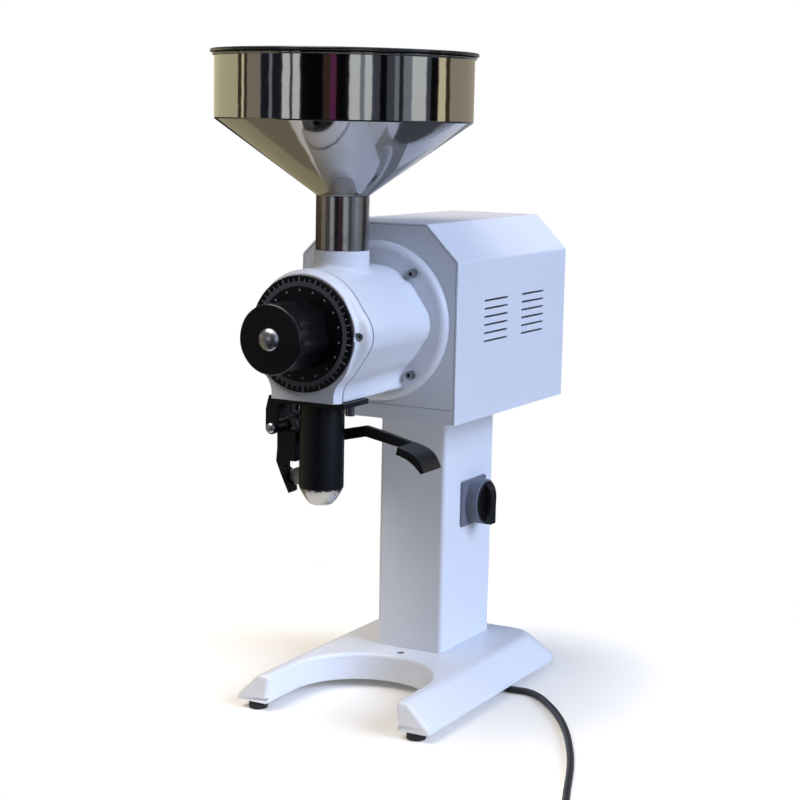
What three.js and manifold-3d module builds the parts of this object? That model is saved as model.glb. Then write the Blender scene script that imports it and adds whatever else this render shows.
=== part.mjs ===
// Bulk coffee grinder on a column. A conical hopper feeds a cast head with flat burrs, the
// grounds leave through a spout with a sprung bag clamp, and a motor in a folded sheet housing
// drives it all through one level shaft. The mains lead lies on the table with its end coiled.
// Millimetres, +Z up. The dial faces -Y and the switch faces +X. The origin is on the table,
// under the middle of the machine. While the pieces are made, Y is measured from the front face
// of the housing's front plate, and the finished group is then moved to the middle.

import * as THREE from 'three';
import { mergeVertices } from 'three/addons/utils/BufferGeometryUtils.js';
import Module from 'manifold-3d';

const wasm = await Module();
wasm.setup();

// Fits
const seat = 0.3; // gap that pieces keep where they sit on or in each other
const overrun = 2; // how far a cutting tool passes the face that it opens
const weldDistance = 0.0001;

// Facets round a full circle
const largeFacets = 48;
const mediumFacets = 32;
const innerFacets = 24; // pieces that nobody sees
const smallFacets = 18;
const tinyFacets = 10;
const domeSteps = 4; // from the middle of a domed head to its edge
const cornerSteps = 6; // round a corner of the base
const baySteps = 18; // round the inner end of the bay

// Stand: feet, base and column
const footHeight = 8;
const footRadius = 9.5;
const footChamfer = 1;
const footFrontX = 89.2;
const footFrontY = -70;
const footRearX = 82;
const footRearY = 186;
const baseHeight = 29;
const baseRimHeight = 5.5;
const baseHalfWidth = 107.7;
const baseTopHalfWidth = 83.7;
const baseFront = -80.5;
const baseBack = 232;
const baseTopBack = 213;
const baseCorner = 30;
const baseTopCorner = 26;
const baseWall = 6.5;
const baseCeiling = 6;
const bayCentreY = -25;
const bayRadius = 74; // at the underside
const bayTopRadius = 71;
const pocketFront = 70;
const footBossRadius = 13;
const cableHoleRadius = 15;
const cableHoleY = 135;
const baseScrewY = 61;
const baseScrewHeadRadius = 4;
const baseScrewRadius = 2;
const baseScrewLength = 16;
const columnWidth = 76.5;
const columnDepth = 112.5;
const columnHeight = 254.1;
const columnFront = 78.6;
const columnWall = 3;
const columnCorner = 5;

// Motor housing of folded sheet
const housingWidth = 173;
const housingLength = 256.2;
const housingHeight = 192.4;
const shoulder = 35;
const sheet = 2;
const bendRadius = 4;
const frontPlateThickness = 3;
const backPlateThickness = 2;
const trayLip = 14.2;
const trayCableRadius = 22;
const ventRows = 6;
const ventPitch = 8.05;
const ventHeight = 2;
const ventLength = 54;
const ventEndRadius = 0.85;
const ventStart = 60;
const ventSpacing = 87;

// Head: chamber casting and front cover
const headRadius = 58.5;
const earRadius = 20;
const earReach = 45;
const earLift = 0.5;
const earScrewReach = 55.5;
const outletHalf = 34;
const outletDrop = 63;
const outletFillet = 22;
const headDraftShare = 0.955; // size of the casting's outline at the flange
const chamberLength = 122.7;
const flangeRadius = 78.5;
const flangeThickness = 7.9;
const flangeRound = 8;
const flangeScrewX = 43;
const flangeScrewZ = 49;
const collarRadius = 25.8;
const collarBore = 22.3;
const collarRise = 72.9; // above the shaft's axis
const hopperSetback = 52; // from the cover's seam to the hopper's axis
const spoutSetback = 19.8; // from the cover's seam to the spout's axis
const coverDepth = 16.1;
const coverFaceRadius = 55;
const coverFootInset = 0.8;
const coverFootTop = 43; // below the shaft's axis
const coverRoundLow = 20; // below it, where the face is round
const coverEdge = 5.2; // straight part of the cover's side
const cavityRadius = 51.5;
const cavityDepth = 34;
const throatRadius = 30;
const throatDepth = 45;
const outletBore = 15.5;
const outletBoreTop = 41; // below the shaft's axis, inside the cavity

// Burrs, feed and shaft
const burrRadius = 49;
const burrInner = 27;
const burrThickness = 9;
const burrToothDepth = 3.2;
const burrTeeth = 24;
const burrGap = 0.4;
const spiderThickness = 5.7;
const spiderRimInner = 40;
const spiderHubRadius = 13;
const spokeWidth = 8;
const spokes = 3;
const carrierRadius = 46;
const carrierThickness = 7;
const carrierTravelRoom = 2;
const stemRadius = 13;
const stemTipRadius = 8;
const stemTipLength = 26;
const runningGap = 0.5;
const shaftRadius = 8;
const shaftEndRadius = 5;
const shaftEndLength = 15;
const nutLength = 7;
const nutRadius = 9;
const augerRadius = 28.5;
const augerHubRadius = 11;
const augerLength = 38;
const augerThickness = 3;
const augerTurns = 1.75;
const augerFlightRoot = 9.2; // inner radius of its flight, inside the hub
const augerBackGap = 3; // to the throat's end wall

// Dial and knob
const dialRadius = 53.75;
const dialThickness = 3;
const dialBevel = 0.8;
const knobLength = 53.1;
const knobRadius = 32;
const knobLobes = 7;
const knobLobeSteps = 6;
const knobWave = 2.2;
const knobCapWave = 0.7;
const knobCap = 7; // length of the nearly round front disc
const knobBevel = 1.6;
const knobScrewRadius = 10.5;
const knobScrewRise = 5.4;
const knobScrewShank = 3;
const knobScrewReach = 7; // how far its shank enters the stem

// Outlet and spout
const outletPlateHalf = 37;
const outletPlateLead = 24; // before the spout's axis
const outletPlateTrail = 22.5; // behind the spout's axis
const outletPlateThickness = 5;
const spoutRadius = 21.1;
const spoutWall = 2.6;
const spoutLength = 79.5;
const tipLength = 15.5;
const tipRadius = 11;
const tipWall = 2;
const outletScrewX = 30;
const outletScrewRadius = 2.5;
const outletScrewBore = 2.8;
const outletScrewHeadRadius = 4.5;
const outletScrewHeadLength = 9;
const outletScrewHoleDepth = 16; // into the casting

// Bag clamp, with its pivot left of the spout
const pivotReach = 47;
const pivotDrop = 26.1; // below the outlet plate
const lugLead = 15; // front lug's face, ahead of the spout's axis
const lugThickness = 4.5;
const lugTrail = 33.5; // rear lug's front face, behind the spout's axis
const lugRadius = 6.2;
const lugTaper = 3.2; // that the lugs draw in at the plate
const lugTaperDrop = 13;
const lugSpread = 9;
const pinRadius = 3.4;
const pinBore = 3.7;
const pinHeadRadius = 5;
const pinHeadRise = 3.4;
const hubRadius = 6;
const jawWidth = 12;
const jawLead = 6; // jaw's front face, ahead of the spout's axis
const jawDrop = 62.7;
const clawFrom = THREE.MathUtils.degToRad(-95); // the claw's hollow round the buffer
const clawTo = THREE.MathUtils.degToRad(-235);
const buffer = 8.1; // radius of the rubber buffer
const bufferTrail = 4.2; // its front face, behind the spout's axis
const bufferDrop = 47.46; // its middle, below the pivot
const bufferLength = 16;
const webReach = 22;
const webDrop = 31.5;
const jawInner = 9.2;
const barWidth = 6;
const barTrail = 31.2; // bar's back face, behind the spout's axis
const leverReach = 157;
const padWidth = 34;
const springRadius = 7.6;
const springWire = 0.8;
const springTurns = 4;
const springPitch = 2.6;
const springTrail = 9.5; // first coil, behind the spout's axis
const springLegLength = 24;
const springLegBend = 16; // where the leg turns onto the coil
const springSteps = 8; // per turn
const springSides = 5;

// Hopper and lid
const hopperRadius = 120;
const hopperWall = 1.6;
const hopperCylinder = 59.7;
const hopperCone = 68.1;
const neckRadius = 25;
const neckLength = 50.8;
const spigotRadius = 21.9;
const spigotLength = 15;
const rimRoll = 2;
const lidOverhang = 4; // past the hopper's cylinder
const lidThickness = 3;
const lidStep = 5;
const lidStepGap = 1.9; // between its step and the hopper's wall

// Motor
const motorRadius = 75;
const motorWall = 4;
const motorFace = 8;
const bearingRadius = 20;
const bearingWidth = 14;
const bearingLip = 2;
const bearingBoss = 6;
const rearBearingRadius = 17;
const rearBearingWidth = 12;
const shieldThickness = 8;
const statorStart = 42;
const statorRearRoom = 43.3; // from its end to the frame's end
const statorBore = 43;
const windingInset = 5;
const windingLength = 15;
const rotorGap = 0.7;
const fanRadius = 60;
const fanHubRadius = 14;
const fanDepth = 18;
const fanDisc = 2.5;
const fanRoom = 36.3; // from the shaft's end to the back plate
const fanBlades = 9;
const fanBladeThickness = 2;
const fanBladeInner = 12;
const fanBladeOuter = 57.5;
const capacitorRadius = 18;
const capacitorLength = 70;
const capacitorSideGap = 6.2; // to the tray's side
const capacitorFrontRoom = 86.7; // from the motor's front

// Fasteners
const flangeScrewRadius = 3;
const flangeScrewBore = 3.4;
const flangeScrewHeadRadius = 4.2;
const flangeScrewHeadLength = 6;
const flangeScrewLength = 19;
const coverScrewRadius = 2;
const coverScrewBore = 2.3;
const coverScrewHeadRadius = 3.6;
const coverScrewHeadBore = 4.1;
const coverScrewHeadLength = 4;
const coverScrewSeat = 4.4; // cover's thickness under the screw's head
const coverScrewLength = 14;

// Switch on the column's right side
const switchY = 143.5;
const switchPlateY = 141.2;
const switchZ = 188.5;
const switchPlateWidth = 54.5;
const switchPlateHeight = 48;
const switchPlateThickness = 6;
const switchPlateBevel = 3;
const barrelRadius = 23.5;
const barrelLength = 9.5;
const knobDiscRadius = 21.5;
const knobDiscThickness = 1.6;
const gripWidth = 12;
const gripRise = 7;
const gripTop = 21;
const gripBottom = 23;

// Mains lead, its gland, coil and plug
const cordRadius = 3.5;
const cordSides = 6;
const cordSteps = 66;
const glandY = 105;
const glandZ = 18;
const glandBossStart = 16;
const glandBossThickness = 10;
const glandBossHalf = 13;
const glandRadius = 7;
const glandFlangeRadius = 9.5;
const glandFlangeLength = 5;
const glandNoseLength = 25;
const glandNoseRadius = 5; // at its thin end
const coilRadius = 50.5;
const coilPitch = 7.8;
const coilLayerStep = 7.7;
const coilTurns = 5.308;
const coilStepsPerTurn = 24;
const coilLeadIn = 7; // straight stretch before its first loop
const coilTail = 14; // straight stretch before the plug
const coilClimbTurns = 0.5; // over which it climbs to its second layer
const coilEntryAngle = THREE.MathUtils.degToRad(20.9);
const plugLength = 30;
const plugHalfWidth = 13;
const plugHalfHeight = 11;
const plugNoseLength = 20;
const plugNoseRadius = 4.7;
const plugNeckRadius = 7;
const plugShoulder = 5.5; // length over which its neck widens
const bladeLength = 17;
const bladeHalfHeight = 3.2;
const bladeThickness = 1.6;
const bladeSpread = 6.35;
const earthPinRadius = 2.4;
const earthPinDrop = 6;

// Route of the lead from the gland to its coil, chosen by hand
const cordRoute = [
  [56.3, 105, 18],
  [63.3, 105, 18],
  [73, 105, 15.9],
  [82, 105, 10.8],
  [91, 105, 5.9],
  [101, 105, 3.8],
  [112, 106.2, 3.55],
  [125, 106.6, 3.55],
  [139, 99.8, 3.55],
  [158.9, 81.3, 3.55],
  [181.7, 53.7, 3.55],
  [203.5, 20.8, 3.55],
  [221.9, -12.9, 3.55],
  [245.2, -62.7, 3.55],
  [271.9, -133.1, 3.55],
  [290, -181, 3.55],
  [307, -225.5, 3.55],
];

// Levels and stations that follow from the sizes above
const baseTop = footHeight + baseHeight;
const columnBottom = baseTop + seat;
const columnTop = columnBottom + columnHeight;
const housingBottom = columnTop + seat;
const housingTop = housingBottom + housingHeight;
const axisZ = housingBottom + housingHeight / 2;
const flangeBack = -seat;
const flangeFront = flangeBack - flangeThickness;
const seamY = flangeBack - chamberLength;
const coverBack = seamY - seat;
const coverFront = coverBack - coverDepth;
const dialBack = coverFront - seat;
const dialFront = dialBack - dialThickness;
const knobBack = dialFront - seat;
const knobFront = knobBack - knobLength;
const knobScrewFront = knobFront - seat - knobScrewRise;
const hopperY = seamY + hopperSetback;
const spoutY = seamY + spoutSetback;
const collarTop = axisZ + collarRise;
const outletBottom = axisZ - outletDrop;
const plateTop = outletBottom - seat;
const plateBottom = plateTop - outletPlateThickness;
const spoutTop = plateBottom - seat;
const spoutBottom = spoutTop - spoutLength;
const pivotX = -pivotReach;
const pivotZ = plateBottom - pivotDrop;
const bufferX = -(spoutRadius + seat + buffer);
const bufferZ = pivotZ - bufferDrop;
const neckBottom = collarTop + seat;
const coneBottom = neckBottom + neckLength;
const coneTop = coneBottom + hopperCone;
const hopperTop = coneTop + hopperCylinder;
const carrierFront = coverBack + carrierTravelRoom;
const carrierBack = carrierFront + carrierThickness;
const fixedBurrFront = carrierBack + seat;
const fixedBurrFace = fixedBurrFront + burrThickness;
const turningBurrFace = fixedBurrFace + burrGap;
const turningBurrBack = turningBurrFace + burrThickness;
const spiderFront = turningBurrBack + seat;
const spiderBack = spiderFront + spiderThickness;
const cavityBack = seamY + cavityDepth;
const throatBack = cavityBack + throatDepth;
const motorFront = frontPlateThickness + seat;
const shaftBack = housingLength - backPlateThickness - fanRoom;
const fanFront = shaftBack - overrun - fanDepth;
const shieldBossBack = fanFront - overrun;
const rearBearingFront = shieldBossBack - bearingBoss - rearBearingWidth;
const shieldFront = rearBearingFront - seat - bearingLip;
const shieldBack = shieldFront + shieldThickness;
const motorBack = shieldFront - seat;
const shaftFront = spiderFront - shaftEndLength;
const machineMiddle = (housingLength + knobScrewFront) / 2;

// Colours of the finished machine
const finishes = {
  powderWhite: [0xe6eaf2, 0.45, 0],
  stainless: [0xc9c7c2, 0.12, 1],
  blackPlastic: [0x101216, 0.35, 0],
  blackMetal: [0x16181c, 0.4, 0],
  lid: [0x181a18, 0.3, 0],
  chrome: [0xd8dadc, 0.12, 1],
  zinc: [0xa9abac, 0.35, 1],
  aluminium: [0xb9b8b4, 0.4, 1],
  toolSteel: [0x8b8d90, 0.35, 1],
  castIron: [0x5a5d61, 0.55, 1],
  copper: [0x9a5a32, 0.5, 0],
  greyPlastic: [0xaeb4ba, 0.45, 0],
  greyRubber: [0x8d9092, 0.7, 0],
  rubber: [0x141414, 0.75, 0],
  lead: [0x121212, 0.6, 0],
  brass: [0xb99a55, 0.3, 1],
};

const machine = new THREE.Group();
machine.position.y = -machineMiddle;

function add(name, geometry, finish) {
  const [color, roughness, metalness] = finishes[finish];
  const material = new THREE.MeshStandardMaterial({ color, roughness, metalness });
  const mesh = new THREE.Mesh(geometry, material);
  mesh.name = name;
  machine.add(mesh);
  return mesh;
}

// Geometry helpers

function welded(geometry) {
  const bare = new THREE.BufferGeometry();
  bare.setAttribute('position', geometry.getAttribute('position'));
  bare.setIndex(geometry.index);
  const merged = mergeVertices(bare, weldDistance);
  const corners = merged.index.array;
  const kept = [];
  for (let i = 0; i < corners.length; i += 3) {
    const [a, b, c] = [corners[i], corners[i + 1], corners[i + 2]];
    if (a !== b && b !== c && c !== a) kept.push(a, b, c);
  }
  merged.setIndex(kept);
  return merged;
}

function solid(geometry) {
  const clean = welded(geometry);
  const mesh = new wasm.Mesh({
    numProp: 3,
    vertProperties: new Float32Array(clean.getAttribute('position').array),
    triVerts: new Uint32Array(clean.index.array),
  });
  return new wasm.Manifold(mesh);
}

function shell(body) {
  const mesh = body.getMesh();
  const geometry = new THREE.BufferGeometry();
  geometry.setAttribute('position', new THREE.BufferAttribute(mesh.vertProperties, 3));
  geometry.setIndex(Array.from(mesh.triVerts));
  return geometry;
}

function join(...geometries) {
  return shell(geometries.map(solid).reduce((whole, next) => whole.add(next)));
}

function cut(geometry, ...tools) {
  return shell(tools.map(solid).reduce((whole, tool) => whole.subtract(tool), solid(geometry)));
}

function outward(geometry) {
  const place = geometry.getAttribute('position');
  const corners = Array.from(geometry.index.array);
  const [a, b, c] = [new THREE.Vector3(), new THREE.Vector3(), new THREE.Vector3()];
  let volume = 0;
  for (let i = 0; i < corners.length; i += 3) {
    a.fromBufferAttribute(place, corners[i]);
    b.fromBufferAttribute(place, corners[i + 1]);
    c.fromBufferAttribute(place, corners[i + 2]);
    volume += a.dot(b.cross(c));
  }
  if (volume < 0) corners.reverse();
  geometry.setIndex(corners);
  return geometry;
}

function point(x, y) {
  return new THREE.Vector2(x, y);
}

function arc(x, y, radius, from, to, steps) {
  const points = [];
  for (let i = 0; i <= steps; i += 1) {
    const angle = from + ((to - from) * i) / steps;
    points.push(point(x + radius * Math.cos(angle), y + radius * Math.sin(angle)));
  }
  return points;
}

function circle(x, y, radius, facets) {
  return arc(x, y, radius, 0, 2 * Math.PI, facets).slice(0, -1);
}

function roundedRectangle(halfWidth, halfHeight, corner, steps) {
  const [x, y] = [halfWidth - corner, halfHeight - corner];
  const quarter = Math.PI / 2;
  return [
    ...arc(x, y, corner, 0, quarter, steps),
    ...arc(-x, y, corner, quarter, 2 * quarter, steps),
    ...arc(-x, -y, corner, 2 * quarter, 3 * quarter, steps),
    ...arc(x, -y, corner, 3 * quarter, 4 * quarter, steps),
  ];
}

// A plate of the outline, with its holes, from one level to the other
function alongZ(outline, from, to, holes = []) {
  const shape = new THREE.Shape(outline);
  shape.holes = holes.map((hole) => new THREE.Path(hole));
  const geometry = new THREE.ExtrudeGeometry(shape, { depth: to - from, bevelEnabled: false });
  return geometry.translate(0, 0, from);
}

// The outline is drawn in X and Z as seen from the front
function alongY(outline, from, to, holes = []) {
  return alongZ(outline, -to, -from, holes).rotateX(Math.PI / 2);
}

// The outline is drawn in Y and Z as seen from the right
function alongX(outline, from, to, holes = []) {
  const turned = new THREE.Matrix4().makeBasis(
    new THREE.Vector3(0, 1, 0),
    new THREE.Vector3(0, 0, 1),
    new THREE.Vector3(1, 0, 0),
  );
  return alongZ(outline, from, to, holes).applyMatrix4(turned);
}

// A turned piece round Y: the profile's points are [radius, place along the axis]
function turnedY(profile, facets) {
  const points = profile.map(([radius, along]) => point(radius, along));
  return new THREE.LatheGeometry(points, facets);
}

function turnedZ(profile, facets) {
  return turnedY(profile, facets).rotateX(Math.PI / 2);
}

function turnedX(profile, facets) {
  return turnedY(profile, facets).rotateZ(-Math.PI / 2);
}

function ringProfile(inner, outer, from, to) {
  return [[inner, from], [outer, from], [outer, to], [inner, to], [inner, from]];
}

function rod(radius, from, to) {
  return [[0, from], [radius, from], [radius, to], [0, to]];
}

// Triangles between rings of as many points each, from one ring to the next
function skin(rings) {
  const count = rings[0].length;
  const corners = [];
  for (let r = 0; r + 1 < rings.length; r += 1) {
    for (let i = 0; i < count; i += 1) {
      const [a, b] = [r * count + i, r * count + ((i + 1) % count)];
      corners.push(a, b, b + count, a, b + count, a + count);
    }
  }
  return corners;
}

function closedBody(rings, corners) {
  const places = rings.flat().flatMap((p) => [p.x, p.y, p.z]);
  const geometry = new THREE.BufferGeometry();
  geometry.setAttribute('position', new THREE.Float32BufferAttribute(places, 3));
  geometry.setIndex(corners);
  return outward(geometry);
}

// Skin over closed rings with flat ends of any outline
function loft(rings) {
  const sides = skin(rings);
  const last = (rings.length - 1) * rings[0].length;
  const ends = [];
  for (const [a, b, c] of THREE.ShapeUtils.triangulateShape(flatten(rings[0]), [])) {
    ends.push(c, b, a, last + a, last + b, last + c);
  }
  return closedBody(rings, [...sides, ...windLike(sides, ends)]);
}

// Skin over closed rings whose ends bulge everywhere outwards, such as circles
function fanLoft(rings) {
  const count = rings[0].length;
  const corners = skin(rings);
  const last = (rings.length - 1) * count;
  for (let i = 1; i + 1 < count; i += 1) {
    corners.push(0, i + 1, i, last, last + i, last + i + 1);
  }
  return closedBody(rings, corners);
}

// A level ring seen as an outline in its own plane
function flatten(ring) {
  const spread = (axis) => {
    const along = ring.map((p) => p[axis]);
    return Math.max(...along) - Math.min(...along);
  };
  const flatAxis = ['x', 'y', 'z'].reduce((low, axis) => (spread(axis) < spread(low) ? axis : low));
  const [u, v] = ['x', 'y', 'z'].filter((axis) => axis !== flatAxis);
  return ring.map((p) => point(p[u], p[v]));
}

// The end caps of a loft, turned over where they don't wind like its sides
function windLike(sides, ends) {
  const edges = (corners) => corners.map((a, i) => {
    const b = i % 3 === 2 ? corners[i - 2] : corners[i + 1];
    return `${a} ${b}`;
  });
  const taken = new Set(edges(sides));
  const clash = edges(ends).some((edge) => taken.has(edge));
  return clash ? ends.toReversed() : ends;
}

// A ring body whose section changes on the way round
function loopBody(sections) {
  const places = sections.length * sections[0].length;
  const corners = skin([...sections, sections[0]]).map((corner) => corner % places);
  return closedBody(sections, corners);
}

// A tube along points, with each ring square to the way on
function tube(points, radius, sides, up) {
  const rings = points.map((centre, i) => {
    const ahead = points[Math.min(i + 1, points.length - 1)];
    const behind = points[Math.max(i - 1, 0)];
    const way = ahead.clone().sub(behind).normalize();
    const across = way.clone().cross(up).normalize();
    const over = across.clone().cross(way).normalize();
    return circle(0, 0, radius, sides).map((p) => (
      centre.clone().addScaledVector(across, p.x).addScaledVector(over, p.y)));
  });
  return fanLoft(rings);
}

// Outline of the head in X and Z, measured from the shaft's axis: a round with two screw ears
// and an outlet foot that it meets in a hollow curve
function headOutline() {
  const lean = Math.acos((headRadius - earRadius) / Math.hypot(earReach, earLift));
  const earAngle = Math.atan2(earLift, earReach);
  const filletX = outletHalf + outletFillet;
  const filletZ = -Math.sqrt((headRadius + outletFillet) ** 2 - filletX ** 2);
  const filletAngle = Math.atan2(filletZ, filletX);
  const right = [
    point(outletHalf, -outletDrop),
    ...arc(filletX, filletZ, outletFillet, Math.PI, Math.PI + filletAngle, 4),
    ...arc(0, 0, headRadius, filletAngle, earAngle - lean, 2).slice(1),
    ...arc(earReach, earLift, earRadius, earAngle - lean, earAngle + lean, 5),
    ...arc(0, 0, headRadius, earAngle + lean, Math.PI / 2, 7),
  ];
  const left = right.slice(0, -1).reverse().map((p) => point(-p.x, p.y));
  return [...right, ...left];
}

// The head's outline as a ring at a station along Y, scaled by a share. The outlet's flat foot
// keeps its level along the casting.
function headRing(y, share) {
  return headOutline().map((p) => {
    const low = p.y <= -outletDrop;
    return new THREE.Vector3(p.x * share, y, axisZ + (low ? p.y : p.y * share));
  });
}

// A ring of the front cover, drawn in by a share: the upper part towards the round face and the
// foot by a little
function coverRing(y, share) {
  return headOutline().map((p) => {
    const rounded = THREE.MathUtils.smoothstep(p.y, -coverFootTop, -coverRoundLow);
    const foot = point(p.x - Math.sign(p.x) * coverFootInset, p.y + coverFootInset);
    const face = p.clone().setLength(coverFaceRadius);
    const place = p.clone().lerp(foot.lerp(face, rounded), share);
    return new THREE.Vector3(place.x, y, axisZ + place.y);
  });
}

// How far the cover's round side has drawn in, at shares of its depth
const coverRoundShares = [
  [0.28, 0.3],
  [0.56, 0.78],
  [1, 1],
];

// Stand

function makeFeet() {
  const profile = [
    [0, 0],
    [footRadius - footChamfer, 0],
    [footRadius, footChamfer],
    [footRadius, footHeight - seat],
    [0, footHeight - seat],
  ];
  const places = {
    foot_front_left: [-footFrontX, footFrontY],
    foot_front_right: [footFrontX, footFrontY],
    foot_rear_left: [-footRearX, footRearY],
    foot_rear_right: [footRearX, footRearY],
  };
  for (const [name, [x, y]] of Object.entries(places)) {
    add(name, turnedZ(profile, smallFacets), 'rubber').position.set(x, y, 0);
  }
}

function baseRing(halfWidth, front, back, corner, z) {
  const outline = [
    point(-halfWidth, front),
    point(halfWidth, front),
    ...arc(halfWidth - corner, back - corner, corner, 0, Math.PI / 2, cornerSteps),
    ...arc(corner - halfWidth, back - corner, corner, Math.PI / 2, Math.PI, cornerSteps),
  ];
  return outline.map((p) => new THREE.Vector3(p.x, p.y, z));
}

function bayRing(radius, z) {
  const outline = [
    point(-radius, baseFront - overrun),
    point(radius, baseFront - overrun),
    ...arc(0, bayCentreY, radius, 0, Math.PI, baySteps),
  ];
  return outline.map((p) => new THREE.Vector3(p.x, p.y, z));
}

function pocketRing(inset, z) {
  const slope = Math.max(0, (z - footHeight - baseRimHeight) / (baseHeight - baseRimHeight));
  const halfWidth = baseHalfWidth - (baseHalfWidth - baseTopHalfWidth) * slope - inset;
  const back = baseBack - (baseBack - baseTopBack) * slope - inset;
  return baseRing(halfWidth, pocketFront, back, baseTopCorner, z);
}

function makeBase() {
  const rimTop = footHeight + baseRimHeight;
  const ceiling = baseTop - baseCeiling;
  const block = loft([
    baseRing(baseHalfWidth, baseFront, baseBack, baseCorner, footHeight),
    baseRing(baseHalfWidth, baseFront, baseBack, baseCorner, rimTop),
    baseRing(baseTopHalfWidth, baseFront, baseTopBack, baseTopCorner, baseTop),
  ]);
  const bay = loft([
    bayRing(bayRadius, footHeight - overrun),
    bayRing(bayRadius, footHeight),
    bayRing(bayTopRadius, baseTop),
    bayRing(bayTopRadius, baseTop + overrun),
  ]);
  const pocket = loft([
    pocketRing(baseWall, footHeight - overrun),
    pocketRing(baseWall, rimTop),
    pocketRing(baseWall, ceiling),
  ]);
  const bossOutline = (x) => circle(x, footRearY, footBossRadius, smallFacets);
  const glandBoss = alongX(
    [
      point(glandY - glandBossHalf, footHeight),
      point(glandY + glandBossHalf, footHeight),
      point(glandY + glandBossHalf, ceiling + overrun),
      point(glandY - glandBossHalf, ceiling + overrun),
    ],
    glandBossStart,
    glandBossStart + glandBossThickness,
    [circle(glandY, glandZ, glandRadius + seat, smallFacets)],
  );
  const casting = join(
    cut(block, bay, pocket),
    alongZ(bossOutline(footRearX), footHeight, ceiling + overrun),
    alongZ(bossOutline(-footRearX), footHeight, ceiling + overrun),
    glandBoss,
  );
  const cableHole = circle(0, cableHoleY, cableHoleRadius, smallFacets);
  const screwHole = turnedZ(
    [
      [0, baseTop - baseScrewLength - seat],
      [baseScrewRadius + seat, baseTop - baseScrewLength - seat],
      [baseScrewRadius + seat, baseTop - baseScrewHeadRadius],
      [baseScrewHeadRadius + seat, baseTop - seat],
      [baseScrewHeadRadius + seat, baseTop + overrun],
      [0, baseTop + overrun],
    ],
    smallFacets,
  ).translate(0, baseScrewY, 0);
  const finished = cut(casting, alongZ(cableHole, ceiling - overrun, baseTop + overrun), screwHole);
  add('base_casting', finished, 'powderWhite');

  const screw = [
    [0, baseTop - baseScrewLength],
    [baseScrewRadius, baseTop - baseScrewLength],
    [baseScrewRadius, baseTop - baseScrewHeadRadius + seat],
    [baseScrewHeadRadius, baseTop - seat],
    [0, baseTop - seat],
  ];
  add('base_screw', turnedZ(screw, tinyFacets), 'zinc').position.y = baseScrewY;
}

function makeColumn() {
  const [halfWidth, halfDepth] = [columnWidth / 2, columnDepth / 2];
  const outer = roundedRectangle(halfWidth, halfDepth, columnCorner, 3);
  const inner = roundedRectangle(
    halfWidth - columnWall,
    halfDepth - columnWall,
    columnCorner - columnWall,
    1,
  );
  const column = alongZ(outer, columnBottom, columnTop, [inner]);
  add('column_tube', column, 'powderWhite').position.y = columnFront + halfDepth;
}

// Motor housing

// Outline of the wrapped cover's skin at a distance in from its outside, open at the bottom
function coverLine(inset) {
  const [x, top] = [housingWidth / 2 - inset, housingTop - inset];
  const slant = shoulder - inset * (2 - Math.SQRT2);
  const radius = bendRadius - inset;
  const back = radius * Math.tan(Math.PI / 8);
  const low = point(x - radius, top - slant - back);
  const high = point(x - slant - back, top - radius);
  return [
    point(x, housingBottom),
    ...arc(low.x, low.y, radius, 0, Math.PI / 4, 2),
    ...arc(high.x, high.y, radius, Math.PI / 4, Math.PI / 2, 2),
  ];
}

function mirrored(line) {
  return line.slice().reverse().map((p) => point(-p.x, p.y));
}

function makeHousing() {
  const outer = coverLine(0);
  const inner = coverLine(sheet);
  const section = [...outer, ...mirrored(outer), ...mirrored(inner).reverse(), ...inner.reverse()];
  const wrap = alongY(section, 0, housingLength);
  const slots = [];
  for (let row = 0; row < ventRows; row += 1) {
    for (const start of [ventStart, ventStart + ventSpacing]) {
      const z = axisZ + (row - (ventRows - 1) / 2) * ventPitch;
      const slot = roundedRectangle(ventLength / 2, ventHeight / 2, ventEndRadius, 1)
        .map((p) => point(p.x + start + ventLength / 2, p.y + z));
      slots.push(alongX(slot, -housingWidth / 2 - overrun, housingWidth / 2 + overrun));
    }
  }
  add('housing_cover', cut(wrap, ...slots), 'powderWhite');

  const edge = sheet + seat;
  const line = coverLine(edge).slice(1);
  const lipTop = housingBottom + trayLip;
  const screws = [];
  for (const x of [-flangeScrewX, flangeScrewX]) {
    for (const z of [axisZ - flangeScrewZ, axisZ + flangeScrewZ]) {
      screws.push(circle(x, z, flangeScrewBore, tinyFacets));
    }
  }
  const plateLine = [point(housingWidth / 2 - edge, lipTop + seat), ...line];
  const plate = [...plateLine, ...mirrored(plateLine)];
  const shaftHole = circle(0, axisZ, bearingRadius - bearingBoss, smallFacets);
  const frontPlate = alongY(plate, 0, frontPlateThickness, [shaftHole, ...screws]);
  add('housing_front_plate', frontPlate, 'powderWhite');
  const backStart = housingLength - backPlateThickness;
  add('housing_back_plate', alongY(plate, backStart, housingLength), 'powderWhite');

  const half = housingWidth / 2 - edge;
  const sheetBox = (x, front, back, bottom, top) => alongZ(
    [point(-x, front), point(x, front), point(x, back), point(-x, back)],
    bottom,
    top,
  );
  const tray = cut(
    sheetBox(half, 0, housingLength, housingBottom, lipTop),
    sheetBox(half - sheet, frontPlateThickness, backStart, housingBottom + sheet, lipTop + overrun),
    alongZ(
      circle(0, cableHoleY, trayCableRadius, smallFacets),
      housingBottom - overrun,
      lipTop,
    ),
  );
  add('housing_tray', tray, 'powderWhite');
}

// Head

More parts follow.
